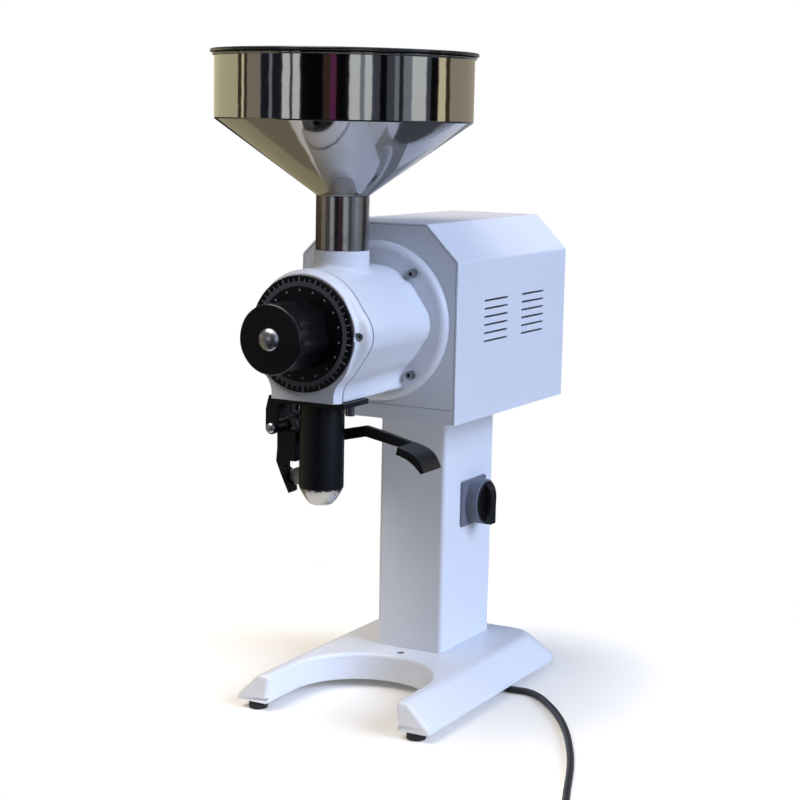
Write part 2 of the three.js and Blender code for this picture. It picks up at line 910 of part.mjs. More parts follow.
function makeChamber() {
  const body = loft([headRing(flangeBack, headDraftShare), headRing(seamY, 1)]);
  const flangeProfile = [[0, flangeFront]];
  for (const p of arc(flangeRadius - flangeRound, flangeBack, 1, -Math.PI / 2, 0, 4)) {
    const across = (p.x - flangeRadius + flangeRound) * flangeRound;
    const along = (p.y - flangeBack) * flangeThickness;
    flangeProfile.push([flangeRadius - flangeRound + across, flangeBack + along]);
  }
  flangeProfile.push([0, flangeBack]);
  const flange = turnedY(flangeProfile, largeFacets).translate(0, 0, axisZ);
  const collar = turnedZ(rod(collarRadius, axisZ, collarTop), mediumFacets);
  const shaftBore = shaftRadius + runningGap + seat;
  const hollow = [
    [0, seamY - overrun],
    [cavityRadius, seamY - overrun],
    [cavityRadius, cavityBack],
    [throatRadius, cavityBack],
    [throatRadius, throatBack],
    [shaftBore, throatBack],
    [shaftBore, flangeBack + overrun],
    [0, flangeBack + overrun],
  ];
  const inlet = rod(collarBore, axisZ, collarTop + overrun);
  const outlet = rod(outletBore, outletBottom - overrun, axisZ - outletBoreTop);
  const tools = [
    turnedY(hollow, innerFacets).translate(0, 0, axisZ),
    turnedZ(inlet, innerFacets).translate(0, hopperY, 0),
    turnedZ(outlet, smallFacets).translate(0, spoutY, 0),
  ];
  const earHoleEnd = coverBack - coverScrewSeat + coverScrewLength + seat;
  for (const side of [-1, 1]) {
    const ear = turnedY(rod(coverScrewBore, seamY - overrun, earHoleEnd), tinyFacets);
    tools.push(ear.translate(side * earScrewReach, 0, axisZ + earLift));
    const screw = rod(flangeScrewBore, flangeFront - overrun, flangeBack + overrun);
    for (const z of [-flangeScrewZ, flangeScrewZ]) {
      tools.push(turnedY(screw, tinyFacets).translate(side * flangeScrewX, 0, axisZ + z));
    }
    const plateScrew = rod(
      outletScrewBore,
      outletBottom - overrun,
      outletBottom + outletScrewHoleDepth,
    );
    tools.push(turnedZ(plateScrew, tinyFacets).translate(side * outletScrewX, spoutY, 0));
  }
  const casting = join(body, flange, collar.translate(0, hopperY, 0));
  add('grinding_chamber', cut(casting, ...tools), 'powderWhite');
}

function makeCover() {
  const shoulderY = coverBack - coverEdge;
  const rest = coverDepth - coverEdge;
  const body = loft([
    coverRing(coverBack, 0),
    coverRing(shoulderY, 0),
    ...coverRoundShares.map(([along, inward]) => coverRing(shoulderY - rest * along, inward)),
  ]);
  const stemHole = rod(stemRadius + runningGap, coverFront - overrun, coverBack + overrun);
  const tools = [turnedY(stemHole, innerFacets).translate(0, 0, axisZ)];
  const headSeat = coverBack - coverScrewSeat;
  const hole = [
    [0, coverFront - overrun],
    [coverScrewHeadBore, coverFront - overrun],
    [coverScrewHeadBore, headSeat],
    [coverScrewBore, headSeat],
    [coverScrewBore, coverBack + overrun],
    [0, coverBack + overrun],
  ];
  const screw = [
    [0, headSeat - coverScrewHeadLength],
    [coverScrewHeadRadius, headSeat - coverScrewHeadLength],
    [coverScrewHeadRadius, headSeat - seat],
    [coverScrewRadius, headSeat - seat],
    [coverScrewRadius, headSeat + coverScrewLength],
    [0, headSeat + coverScrewLength],
  ];
  for (const [name, side] of [['cover_screw_left', -1], ['cover_screw_right', 1]]) {
    tools.push(turnedY(hole, smallFacets).translate(side * earScrewReach, 0, axisZ + earLift));
    const mesh = add(name, turnedY(screw, tinyFacets), 'zinc');
    mesh.position.set(side * earScrewReach, 0, axisZ + earLift);
  }
  add('chamber_front_cover', cut(body, ...tools), 'powderWhite');

  const flangeScrew = [
    [0, flangeFront - seat - flangeScrewHeadLength],
    [flangeScrewHeadRadius, flangeFront - seat - flangeScrewHeadLength],
    [flangeScrewHeadRadius, flangeFront - seat],
    [flangeScrewRadius, flangeFront - seat],
    [flangeScrewRadius, flangeFront + flangeScrewLength],
    [0, flangeFront + flangeScrewLength],
  ];
  let number = 1;
  for (const x of [-flangeScrewX, flangeScrewX]) {
    for (const z of [-flangeScrewZ, flangeScrewZ]) {
      const mesh = add(`flange_screw_${number}`, turnedY(flangeScrew, tinyFacets), 'zinc');
      mesh.position.set(x, 0, axisZ + z);
      number += 1;
    }
  }
}

// Burrs and feed

// The burr's face from its rim inwards, as shares: of the way in to the bore, of a tooth's turn
// that the tooth leans, and of the depth that its gully has reached
const burrFaceShares = [
  [0, 0, 0.125],
  [0.25, 0.25, 0.25],
  [0.5, 0.5, 0.5],
  [1, 1, 1],
];

// A toothed ring whose face looks along the sign of facing, from its back at a station along Y
function burrRing(back, facing) {
  const sections = [];
  const steps = burrTeeth * 2;
  const lean = (2 * Math.PI) / burrTeeth;
  for (let i = 0; i < steps; i += 1) {
    const depth = i % 2 === 0 ? 0 : burrToothDepth;
    const angle = (2 * Math.PI * i) / steps;
    const at = (radius, turn, height) => new THREE.Vector3(
      radius * Math.cos(turn),
      back + facing * height,
      axisZ + radius * Math.sin(turn),
    );
    const face = burrFaceShares.map(([inward, turn, sunk]) => at(
      burrRadius - (burrRadius - burrInner) * inward,
      angle - lean * turn,
      burrThickness - depth * sunk,
    ));
    sections.push([at(burrInner, angle, 0), at(burrRadius, angle, 0), ...face]);
  }
  return loopBody(sections);
}

function makeBurrs() {
  add('stationary_burr', burrRing(fixedBurrFront, 1), 'toolSteel');
  add('rotating_burr', burrRing(turningBurrBack, -1), 'toolSteel');

  const hub = turnedY(rod(spiderHubRadius, spiderFront, spiderBack), innerFacets);
  const rimProfile = ringProfile(spiderRimInner, burrRadius, spiderFront, spiderBack);
  const rim = turnedY(rimProfile, innerFacets);
  const arms = [];
  for (let i = 0; i < spokes; i += 1) {
    const arm = alongY(
      [
        point(-spokeWidth / 2, 0),
        point(spokeWidth / 2, 0),
        point(spokeWidth / 2, spiderRimInner + overrun),
        point(-spokeWidth / 2, spiderRimInner + overrun),
      ],
      spiderFront,
      spiderBack,
    );
    arms.push(arm.rotateY((2 * Math.PI * i) / spokes));
  }
  const bore = rod(shaftRadius + seat, spiderFront - overrun, spiderBack + overrun);
  const spider = cut(join(hub, rim, ...arms), turnedY(bore, innerFacets));
  add('burr_spider', spider, 'castIron').position.z = axisZ;

  const carrier = [
    [0, coverFront - stemTipLength + knobScrewReach + overrun],
    [knobScrewShank + runningGap, coverFront - stemTipLength + knobScrewReach + overrun],
    [knobScrewShank + runningGap, coverFront - stemTipLength],
    [stemTipRadius, coverFront - stemTipLength],
    [stemTipRadius, coverFront],
    [stemRadius, coverFront],
    [stemRadius, carrierFront],
    [carrierRadius, carrierFront],
    [carrierRadius, carrierBack],
    [0, carrierBack],
  ];
  add('burr_carrier', turnedY(carrier, innerFacets), 'castIron').position.z = axisZ;
}

function makeShaft() {
  const shaft = [
    [0, shaftFront],
    [shaftEndRadius, shaftFront],
    [shaftEndRadius, spiderFront],
    [shaftRadius, spiderFront],
    [shaftRadius, shaftBack],
    [0, shaftBack],
  ];
  add('drive_shaft', turnedY(shaft, innerFacets), 'toolSteel').position.z = axisZ;

  const nutBack = spiderFront - seat;
  const nut = alongY(
    circle(0, 0, nutRadius, 6),
    nutBack - nutLength,
    nutBack,
    [circle(0, 0, shaftEndRadius + seat, smallFacets)],
  );
  add('burr_nut', nut, 'zinc').position.z = axisZ;

  const augerBack = throatBack - augerBackGap;
  const augerFront = augerBack - augerLength;
  const hub = turnedY(rod(augerHubRadius, augerFront, augerBack), smallFacets);
  const steps = Math.round(augerTurns * smallFacets);
  const rings = [];
  for (let i = 0; i <= steps; i += 1) {
    const share = i / steps;
    const angle = 2 * Math.PI * augerTurns * share;
    const start = augerFront + (augerLength - augerThickness) * share;
    const [x, z] = [Math.cos(angle), Math.sin(angle)];
    const at = (radius, along) => new THREE.Vector3(radius * x, along, radius * z);
    rings.push([
      at(augerFlightRoot, start),
      at(augerRadius, start),
      at(augerRadius, start + augerThickness),
      at(augerFlightRoot, start + augerThickness),
    ]);
  }
  const bore = rod(shaftRadius + seat, augerFront - overrun, augerBack + overrun);
  const auger = cut(join(hub, fanLoft(rings)), turnedY(bore, innerFacets));
  add('feed_auger', auger, 'castIron').position.z = axisZ;
}

// Dial and knob

function knobRing(y, wave, inset) {
  const steps = knobLobes * knobLobeSteps;
  const points = [];
  for (let i = 0; i < steps; i += 1) {
    const angle = (2 * Math.PI * i) / steps;
    const radius = knobRadius - inset - (wave * (1 - Math.cos(knobLobes * angle))) / 2;
    points.push(new THREE.Vector3(radius * Math.sin(angle), y, radius * Math.cos(angle)));
  }
  return points;
}

function makeDial() {
  const bore = stemTipRadius + runningGap;
  const dial = [
    [bore, dialFront],
    [dialRadius - dialBevel, dialFront],
    [dialRadius, dialFront + dialBevel],
    [dialRadius, dialBack],
    [bore, dialBack],
    [bore, dialFront],
  ];
  add('dial_disc', turnedY(dial, largeFacets), 'blackMetal').position.z = axisZ;

  const capBack = knobFront + knobCap;
  const body = loft([
    knobRing(knobFront, knobCapWave, knobBevel),
    knobRing(knobFront + knobBevel, knobCapWave, 0),
    knobRing(capBack, knobCapWave, 0),
    knobRing(capBack + knobWave, knobWave, 0),
    knobRing(knobBack, knobWave, 0),
  ]);
  const stemEnd = coverFront - stemTipLength;
  const hole = [
    [0, knobFront - overrun],
    [knobScrewShank + runningGap, knobFront - overrun],
    [knobScrewShank + runningGap, stemEnd - runningGap],
    [bore, stemEnd - runningGap],
    [bore, knobBack + overrun],
    [0, knobBack + overrun],
  ];
  const knob = cut(body, turnedY(hole, innerFacets));
  add('adjuster_knob', knob, 'blackPlastic').position.z = axisZ;

  const dome = domeProfile(knobScrewRadius, knobScrewRise, knobFront - seat);
  const screw = [
    ...dome,
    [knobScrewShank, knobFront - seat],
    [knobScrewShank, stemEnd + knobScrewReach],
    [0, stemEnd + knobScrewReach],
  ];
  add('knob_screw', turnedY(screw, smallFacets), 'chrome').position.z = axisZ;
}

// Half section of a domed head that rises ahead of its seat
function domeProfile(radius, rise, back) {
  return arc(0, 0, 1, -Math.PI / 2, 0, domeSteps).map((p) => [p.x * radius, back + p.y * rise]);
}

// Outlet, spout and bag clamp

function makeOutlet() {
  const [front, rear] = [spoutY - outletPlateLead, spoutY + outletPlateTrail];
  const [lugFront, lugBack] = [spoutY - lugLead, spoutY + lugTrail + lugThickness];
  const lugLeft = pivotX - lugRadius;
  const outline = [
    point(outletPlateHalf, front),
    point(outletPlateHalf, rear),
    point(-outletPlateHalf, rear),
    point(-outletPlateHalf, lugBack),
    point(lugLeft + lugTaper, lugBack),
    point(lugLeft + lugTaper, lugFront),
    point(-outletPlateHalf - seat, lugFront),
    point(-outletPlateHalf - seat, front),
  ];
  const holes = [
    circle(0, spoutY, outletBore, smallFacets),
    circle(outletScrewX, spoutY, outletScrewBore, tinyFacets),
    circle(-outletScrewX, spoutY, outletScrewBore, tinyFacets),
  ];
  const lugOutline = [
    point(pivotX + lugSpread, plateTop),
    point(lugLeft + lugTaper, plateTop),
    point(lugLeft, plateTop - lugTaperDrop),
    ...arc(pivotX, pivotZ, lugRadius, Math.PI, 2 * Math.PI, 8),
  ];
  const pinHole = [circle(pivotX, pivotZ, pinBore, tinyFacets)];
  const bracket = join(
    alongZ(outline, plateBottom, plateTop, holes),
    alongY(lugOutline, lugFront, lugFront + lugThickness, pinHole),
    alongY(lugOutline, lugBack - lugThickness, lugBack, pinHole),
  );
  add('outlet_bracket', bracket, 'blackMetal');

  const screw = [
    [0, plateBottom - seat - outletScrewHeadLength],
    [outletScrewHeadRadius, plateBottom - seat - outletScrewHeadLength],
    [outletScrewHeadRadius, plateBottom - seat],
    [outletScrewRadius, plateBottom - seat],
    [outletScrewRadius, outletBottom + outletScrewHoleDepth - overrun],
    [0, outletBottom + outletScrewHoleDepth - overrun],
  ];
  for (const [name, side] of [['outlet_screw_left', -1], ['outlet_screw_right', 1]]) {
    add(name, turnedZ(screw, tinyFacets), 'zinc').position.set(side * outletScrewX, spoutY, 0);
  }

  const tube = ringProfile(spoutRadius - spoutWall, spoutRadius, spoutBottom, spoutTop);
  add('spout_tube', turnedZ(tube, mediumFacets), 'blackMetal').position.y = spoutY;
  const tipTop = spoutBottom - seat;
  const tipBottom = tipTop - tipLength;
  const lip = spoutRadius - tipWall / 2;
  const tip = [
    [tipRadius - tipWall, tipBottom],
    [tipRadius, tipBottom],
    [lip, tipTop],
    [lip - tipWall, tipTop],
    [tipRadius - tipWall, tipBottom],
  ];
  add('spout_tip', turnedZ(tip, mediumFacets), 'aluminium').position.y = spoutY;

  const dome = domeProfile(pinHeadRadius, pinHeadRise, lugFront - seat);
  const pin = [...dome, [pinRadius, lugFront - seat], [pinRadius, lugBack], [0, lugBack]];
  add('clamp_pin', turnedY(pin, smallFacets), 'chrome').position.set(pivotX, 0, pivotZ);
}

// Outer side of the jaw from the hub down to the claw's end, as shares of the jaw's drop
const jawOuterShares = [
  [0.016, -0.05],
  [0.019, -0.319],
  [0.002, -0.523],
  [0.093, -0.729],
  [0.228, -1],
  [0.278, -0.965],
];

// Upper and lower edges of the lever's bar and thumb pad, as shares of the lever's reach
const barUpperShares = [
  [0.13, -0.06],
  [0.346, -0.01],
  [0.505, 0.026],
  [0.626, 0.003],
  [0.84, -0.048],
];
const barLowerShares = [
  [0.84, -0.1],
  [0.626, -0.062],
  [0.505, -0.04],
  [0, -0.162],
];
const padUpperShares = [
  [0.82, -0.043],
  [0.848, -0.05],
  [0.915, -0.072],
  [0.966, -0.112],
  [1, -0.178],
];
const padLowerShares = [
  [0.978, -0.189],
  [0.938, -0.15],
  [0.888, -0.116],
  [0.834, -0.096],
  [0.81, -0.092],
];

function fromPivot(shares, size) {
  return shares.map(([x, z]) => point(pivotX + x * size, pivotZ + z * size));
}

function makeClamp() {
  const hubFront = spoutY - lugLead + lugThickness + seat;
  const hubBack = spoutY + lugTrail - seat;
  const jawFront = spoutY - jawLead;
  const barBack = spoutY + barTrail;
  const hub = turnedY(rod(hubRadius, hubFront, hubBack), smallFacets);
  const hollow = buffer + seat;
  const webZ = pivotZ - webDrop;
  const jaw = [
    ...fromPivot(jawOuterShares, jawDrop),
    ...arc(bufferX, bufferZ, hollow, clawFrom, clawTo, 7),
    point(pivotX + jawInner, bufferZ + hollow),
    point(pivotX + jawInner, webZ),
    point(pivotX + webReach, webZ),
    point(pivotX + webReach, pivotZ - hubRadius / 2),
  ];
  const bar = [
    point(pivotX, pivotZ + hubRadius - seat),
    point(pivotX + hubRadius, pivotZ - hubRadius),
    ...fromPivot(barUpperShares, leverReach),
    ...fromPivot(barLowerShares, leverReach),
    point(pivotX - hubRadius / 2, pivotZ - hubRadius / 2),
  ];
  const pad = [...fromPivot(padUpperShares, leverReach), ...fromPivot(padLowerShares, leverReach)];
  const bore = turnedY(rod(pinBore, hubFront - overrun, hubBack + overrun), tinyFacets);
  const lever = cut(
    join(
      hub.translate(pivotX, 0, pivotZ),
      alongY(jaw, jawFront, jawFront + jawWidth),
      alongY(bar, barBack - barWidth, barBack),
      alongY(pad, barBack - padWidth, barBack + seat),
    ),
    bore.translate(pivotX, 0, pivotZ),
  );
  add('clamp_lever', lever, 'blackMetal');

  const bufferFront = spoutY + bufferTrail;
  const rubber = turnedY(rod(buffer, bufferFront, bufferFront + bufferLength), smallFacets);
  add('clamp_pad', rubber, 'greyRubber').position.set(bufferX, 0, bufferZ);

  const start = spoutY + springTrail;
  const wire = [];
  const lean = springRadius * Math.SQRT1_2;
  wire.push(new THREE.Vector3(-lean, start, springLegLength));
  wire.push(new THREE.Vector3(-lean, start, springLegBend));
  for (let i = -springSteps / 8; i <= springTurns * springSteps; i += 1) {
    const angle = 2 * Math.PI * (i / springSteps);
    const along = start + (springPitch * i) / springSteps;
    const [x, z] = [springRadius * Math.cos(angle), -springRadius * Math.sin(angle)];
    wire.push(new THREE.Vector3(x, along, z));
  }
  wire.push(new THREE.Vector3(springRadius, start + springPitch * springTurns, -springRadius));
  const spring = tube(wire, springWire, springSides, new THREE.Vector3(0, 1, 0));
  add('clamp_spring', spring, 'zinc').position.set(pivotX, 0, pivotZ);
}

// Hopper and lid

function makeHopper() {
  const inner = hopperRadius - hopperWall;
  const profile = [
    [spigotRadius - hopperWall, neckBottom - spigotLength],
    [spigotRadius, neckBottom - spigotLength],
    [spigotRadius, neckBottom],
    [neckRadius, neckBottom],
    [neckRadius, coneBottom],
    [hopperRadius, coneTop],
    [hopperRadius, hopperTop - rimRoll],
    [hopperRadius + rimRoll, hopperTop - rimRoll],
    [hopperRadius + rimRoll, hopperTop],
    [inner, hopperTop],
    [inner, coneTop + hopperWall],
    [neckRadius - hopperWall, coneBottom + hopperWall],
    [neckRadius - hopperWall, neckBottom + hopperWall],
    [spigotRadius - hopperWall, neckBottom + hopperWall],
    [spigotRadius - hopperWall, neckBottom - spigotLength],
  ];
  add('hopper_shell', turnedZ(profile, largeFacets), 'stainless').position.y = hopperY;

  const low = hopperTop + seat;
  const lidRadius = hopperRadius + lidOverhang;
  const stepRadius = inner - lidStepGap;
  const lid = [
    [0, low - lidStep],
    [stepRadius, low - lidStep],
    [stepRadius, low],
    [lidRadius, low],
    [lidRadius, low + lidThickness],
    [0, low + lidThickness],
  ];
  add('hopper_lid', turnedZ(lid, largeFacets), 'lid').position.y = hopperY;
}

// Motor

function makeMotor() {
  const bearingBack = motorFront + bearingLip + seat + bearingWidth;
  const bossBack = bearingBack + bearingBoss;
  const frame = [
    [bearingRadius - bearingBoss, motorFront],
    [motorRadius, motorFront],
    [motorRadius, motorBack],
    [motorRadius - motorWall, motorBack],
    [motorRadius - motorWall, motorFront + motorFace],
    [bearingRadius + bearingBoss, motorFront + motorFace],
    [bearingRadius + bearingBoss, bossBack],
    [bearingRadius + seat, bossBack],
    [bearingRadius + seat, motorFront + bearingLip],
    [bearingRadius - bearingBoss, motorFront + bearingLip],
    [bearingRadius - bearingBoss, motorFront],
  ];
  const hole = rod(flangeScrewBore, motorFront - overrun, motorFront + motorFace + overrun);
  const tools = [];
  for (const x of [-flangeScrewX, flangeScrewX]) {
    for (const z of [-flangeScrewZ, flangeScrewZ]) {
      tools.push(turnedY(hole, tinyFacets).translate(x, 0, z));
    }
  }
  const drilled = cut(turnedY(frame, innerFacets), ...tools);
  add('motor_frame', drilled, 'castIron').position.z = axisZ;

  const bearing = (radius, from, width) => (
    turnedY(ringProfile(shaftRadius + seat, radius, from, from + width), innerFacets));
  const frontBearing = bearing(bearingRadius, motorFront + bearingLip + seat, bearingWidth);
  add('front_bearing', frontBearing, 'chrome').position.z = axisZ;
  const rearBearing = bearing(rearBearingRadius, rearBearingFront, rearBearingWidth);
  add('rear_bearing', rearBearing, 'chrome').position.z = axisZ;

  const shield = [
    [rearBearingRadius - bearingBoss, shieldFront],
    [motorRadius, shieldFront],
    [motorRadius, shieldBack],
    [rearBearingRadius + bearingBoss, shieldBack],
    [rearBearingRadius + bearingBoss, shieldBossBack],
    [rearBearingRadius + seat, shieldBossBack],
    [rearBearingRadius + seat, shieldFront + bearingLip],
    [rearBearingRadius - bearingBoss, shieldFront + bearingLip],
    [rearBearingRadius - bearingBoss, shieldFront],
  ];
  add('motor_end_shield', turnedY(shield, innerFacets), 'castIron').position.z = axisZ;

  const statorOuter = motorRadius - motorWall - seat;
  const statorEnd = motorBack - statorRearRoom;
  const [windingInner, windingOuter] = [statorBore + windingInset, statorOuter - windingInset];
  const stator = [
    [statorBore, statorStart],
    [windingInner, statorStart],
    [windingInner, statorStart - windingLength],
    [windingOuter, statorStart - windingLength],
    [windingOuter, statorStart],
    [statorOuter, statorStart],
    [statorOuter, statorEnd],
    [windingOuter, statorEnd],
    [windingOuter, statorEnd + windingLength],
    [windingInner, statorEnd + windingLength],
    [windingInner, statorEnd],
    [statorBore, statorEnd],
    [statorBore, statorStart],
  ];
  add('stator_pack', turnedY(stator, innerFacets), 'copper').position.z = axisZ;
  const rotor = ringProfile(shaftRadius + seat, statorBore - rotorGap, statorStart, statorEnd);
  add('rotor', turnedY(rotor, innerFacets), 'castIron').position.z = axisZ;

  const fanParts = [
    turnedY(rod(fanHubRadius, fanFront, fanFront + fanDepth), smallFacets),
    turnedY(rod(fanRadius, fanFront, fanFront + fanDisc), innerFacets),
  ];
  for (let i = 0; i < fanBlades; i += 1) {
    const blade = alongY(
      [
        point(-fanBladeThickness / 2, fanBladeInner),
        point(fanBladeThickness / 2, fanBladeInner),
        point(fanBladeThickness / 2, fanBladeOuter),
        point(-fanBladeThickness / 2, fanBladeOuter),
      ],
      fanFront + seat,
      fanFront + fanDepth,
    );
    fanParts.push(blade.rotateY((2 * Math.PI * i) / fanBlades));
  }
  const bore = rod(shaftRadius + seat, fanFront - overrun, fanFront + fanDepth + overrun);
  const fan = cut(join(...fanParts), turnedY(bore, innerFacets));
  add('cooling_fan', fan, 'blackPlastic').position.z = axisZ;

  const canFront = motorFront + capacitorFrontRoom;
  const can = rod(capacitorRadius, canFront, canFront + capacitorLength);
  const capacitor = add('run_capacitor', turnedY(can, smallFacets), 'greyPlastic');
  const trayInside = housingWidth / 2 - sheet - seat - sheet;
  capacitor.position.set(
    capacitorRadius + capacitorSideGap - trayInside,
    0,
    housingBottom + sheet + seat + capacitorRadius,
  );
}

// Switch

function makeSwitch() {
  const side = columnWidth / 2 + seat;
  const face = side + switchPlateThickness;
  const ring = (x, inset) => roundedRectangle(
    switchPlateWidth / 2 - inset,
    switchPlateHeight / 2 - inset,
    switchPlateBevel,
    2,
  ).map((p) => new THREE.Vector3(x, switchPlateY + p.x, switchZ + p.y));
  const plate = loft([ring(side, 0), ring(face - switchPlateBevel, 0), ring(face, switchPlateBevel)]);
  const barrelEnd = face + barrelLength;
  const barrel = turnedX(rod(barrelRadius, face - overrun, barrelEnd), mediumFacets);
  const housing = join(plate, barrel.translate(0, switchY, switchZ));
  add('switch_housing', housing, 'greyPlastic');

  const discFace = barrelEnd + seat + knobDiscThickness;
  const disc = turnedX(rod(knobDiscRadius, barrelEnd + seat, discFace), mediumFacets);
  const grip = alongX(
    [
      point(-gripWidth / 2, -gripBottom),
      point(gripWidth / 2, -gripBottom),
      ...arc(0, gripTop - gripWidth / 2, gripWidth / 2, 0, Math.PI, 6),
    ],
    discFace - knobDiscThickness / 2,
    discFace + gripRise,
  );
  add('switch_knob', join(disc, grip), 'blackPlastic').position.set(0, switchY, switchZ);
}

// Mains lead

function coilPath() {
  const entry = new THREE.Vector3(...cordRoute.at(-1));
  const outwardWay = new THREE.Vector3(Math.cos(coilEntryAngle), Math.sin(coilEntryAngle), 0);
  const heading = new THREE.Vector3(Math.sin(coilEntryAngle), -Math.cos(coilEntryAngle), 0);
  const first = entry.clone().addScaledVector(heading, seat + coilLeadIn);
  const centre = first.clone().addScaledVector(outwardWay, -coilRadius);
  const points = [entry.clone().addScaledVector(heading, seat)];
  const steps = Math.round(coilTurns * coilStepsPerTurn);
  for (let i = 0; i <= steps; i += 1) {
    const turn = (coilTurns * i) / steps;
    const angle = coilEntryAngle - 2 * Math.PI * turn;
    const radius = coilRadius - coilPitch * Math.min(turn, coilTurns - turn);
    const sinceClimb = turn - (coilTurns - coilClimbTurns) / 2;
    const climb = THREE.MathUtils.smoothstep(sinceClimb, 0, coilClimbTurns);
    points.push(new THREE.Vector3(
      centre.x + radius * Math.cos(angle),
      centre.y + radius * Math.sin(angle),
      centre.z + coilLayerStep * climb,
    ));
  }
  const lastAngle = coilEntryAngle - 2 * Math.PI * coilTurns;
  const way = new THREE.Vector3(Math.sin(lastAngle), -Math.cos(lastAngle), 0);
  points.push(points.at(-1).clone().addScaledVector(way, coilTail));
  return { points, way };
}

// Least distance between the surfaces of loops that aren't the same stretch of cord
function leastGap(points) {
  let least = Infinity;
  for (let i = 0; i < points.length; i += 1) {
    for (let j = i + coilStepsPerTurn / 2; j < points.length; j += 1) {
      least = Math.min(least, points[i].distanceTo(points[j]));
    }
  }
  return least - 2 * cordRadius;
}

function pathLength(points) {
  return points.slice(1).reduce((sum, p, i) => sum + p.distanceTo(points[i]), 0);
}

function makeLead() {
  const bossEnd = glandBossStart + glandBossThickness;
  const noseStart = bossEnd + seat + glandFlangeLength;
  const gland = [
    [0, glandBossStart - seat - glandFlangeLength],
    [glandFlangeRadius, glandBossStart - seat - glandFlangeLength],
    [glandFlangeRadius, glandBossStart - seat],
    [glandRadius, glandBossStart - seat],
    [glandRadius, bossEnd + seat],
    [glandFlangeRadius, bossEnd + seat],
    [glandFlangeRadius, noseStart],
    [glandRadius, noseStart],
    [glandNoseRadius, noseStart + glandNoseLength - seat],
    [0, noseStart + glandNoseLength - seat],
  ];
  add('cord_gland', turnedX(gland, smallFacets), 'rubber').position.set(0, glandY, glandZ);

  const route = new THREE.CatmullRomCurve3(
    cordRoute.map((p) => new THREE.Vector3(...p)),
    false,
    'centripetal',
  );
  const lead = new THREE.ExtrudeGeometry(new THREE.Shape(circle(0, 0, cordRadius, cordSides)), {
    steps: cordSteps,
    extrudePath: route,
    bevelEnabled: false,
  });
  add('power_cord', lead, 'lead');

  const { points, way } = coilPath();
  add('cord_coil', tube(points, cordRadius, cordSides, new THREE.Vector3(0, 0, 1)), 'lead');
  const total = (route.getLength() + seat + pathLength(points)).toFixed(0);
  console.log(`lead ${total} mm long, coil's least gap to itself ${leastGap(points).toFixed(2)} mm`);

  const start = points.at(-1).clone().addScaledVector(way, seat);
  const angle = Math.atan2(way.y, way.x);
  const plug = new THREE.Group();
  plug.position.copy(start);
  plug.rotation.z = angle;
  machine.add(plug);
  const ring = (x, halfWidth, halfHeight, corner) => (
    roundedRectangle(halfWidth, halfHeight, corner, 2).map((p) => new THREE.Vector3(x, p.x, p.y)));
  const body = loft([
    ring(0, plugNoseRadius, plugNoseRadius, plugNoseRadius / 2),
    ring(plugNoseLength, plugNeckRadius, plugNeckRadius, plugNeckRadius / 2),
    ring(plugNoseLength + plugShoulder, plugHalfWidth, plugHalfHeight, plugNeckRadius),
    ring(plugNoseLength + plugLength, plugHalfWidth, plugHalfHeight, plugNeckRadius),
  ]);
  const bodyMesh = add('plug_body', body, 'lead');
  plug.add(bodyMesh);
  const face = plugNoseLength + plugLength + seat;
  for (const [name, side] of [['plug_blade_left', -1], ['plug_blade_right', 1]]) {
    const blade = alongX(
      roundedRectangle(bladeThickness / 2, bladeHalfHeight, bladeThickness / 4, 1),
      face,
      face + bladeLength,
    );
    const mesh = add(name, blade, 'brass');
    mesh.position.y = side * bladeSpread;
    plug.add(mesh);
  }
  const pin = turnedX(rod(earthPinRadius, face, face + bladeLength), tinyFacets);
  const earth = add('plug_earth_pin', pin, 'brass');
  earth.position.z = -earthPinDrop;
  plug.add(earth);
}

makeFeet();
makeBase();
makeColumn();
makeHousing();
makeChamber();
makeCover();
makeBurrs();
makeShaft();
makeDial();
makeOutlet();
makeClamp();
makeHopper();
makeMotor();
makeSwitch();
makeLead();

export default machine;
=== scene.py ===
# %% [markdown]
# # A bulk coffee grinder
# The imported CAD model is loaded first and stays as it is. Each cell after that makes one piece
# of the machine, or one finish, and says why it is made that way. The pieces are drawn in
# millimetres, as on a workshop drawing, and one function puts them in the shared frame.

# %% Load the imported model
import math

import bmesh
import bpy
from mathutils import Matrix, Vector


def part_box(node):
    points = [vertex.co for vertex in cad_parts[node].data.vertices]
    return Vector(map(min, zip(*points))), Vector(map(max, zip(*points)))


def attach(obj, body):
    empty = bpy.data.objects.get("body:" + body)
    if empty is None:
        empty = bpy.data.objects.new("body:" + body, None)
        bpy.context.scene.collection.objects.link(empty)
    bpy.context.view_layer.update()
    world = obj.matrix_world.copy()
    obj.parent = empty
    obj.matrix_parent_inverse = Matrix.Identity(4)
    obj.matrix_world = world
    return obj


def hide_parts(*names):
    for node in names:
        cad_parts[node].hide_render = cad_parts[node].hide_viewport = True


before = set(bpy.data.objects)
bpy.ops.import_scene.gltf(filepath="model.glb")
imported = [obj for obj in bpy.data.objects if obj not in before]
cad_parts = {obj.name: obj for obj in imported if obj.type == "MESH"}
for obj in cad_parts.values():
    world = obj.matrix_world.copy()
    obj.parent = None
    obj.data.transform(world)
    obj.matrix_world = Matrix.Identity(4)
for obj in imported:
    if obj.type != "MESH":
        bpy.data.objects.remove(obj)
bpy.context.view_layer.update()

# %% [markdown]
# The drawings measure depth from the front face of the housing's front plate, and heights from
# the table. The CAD model says where that plate is.

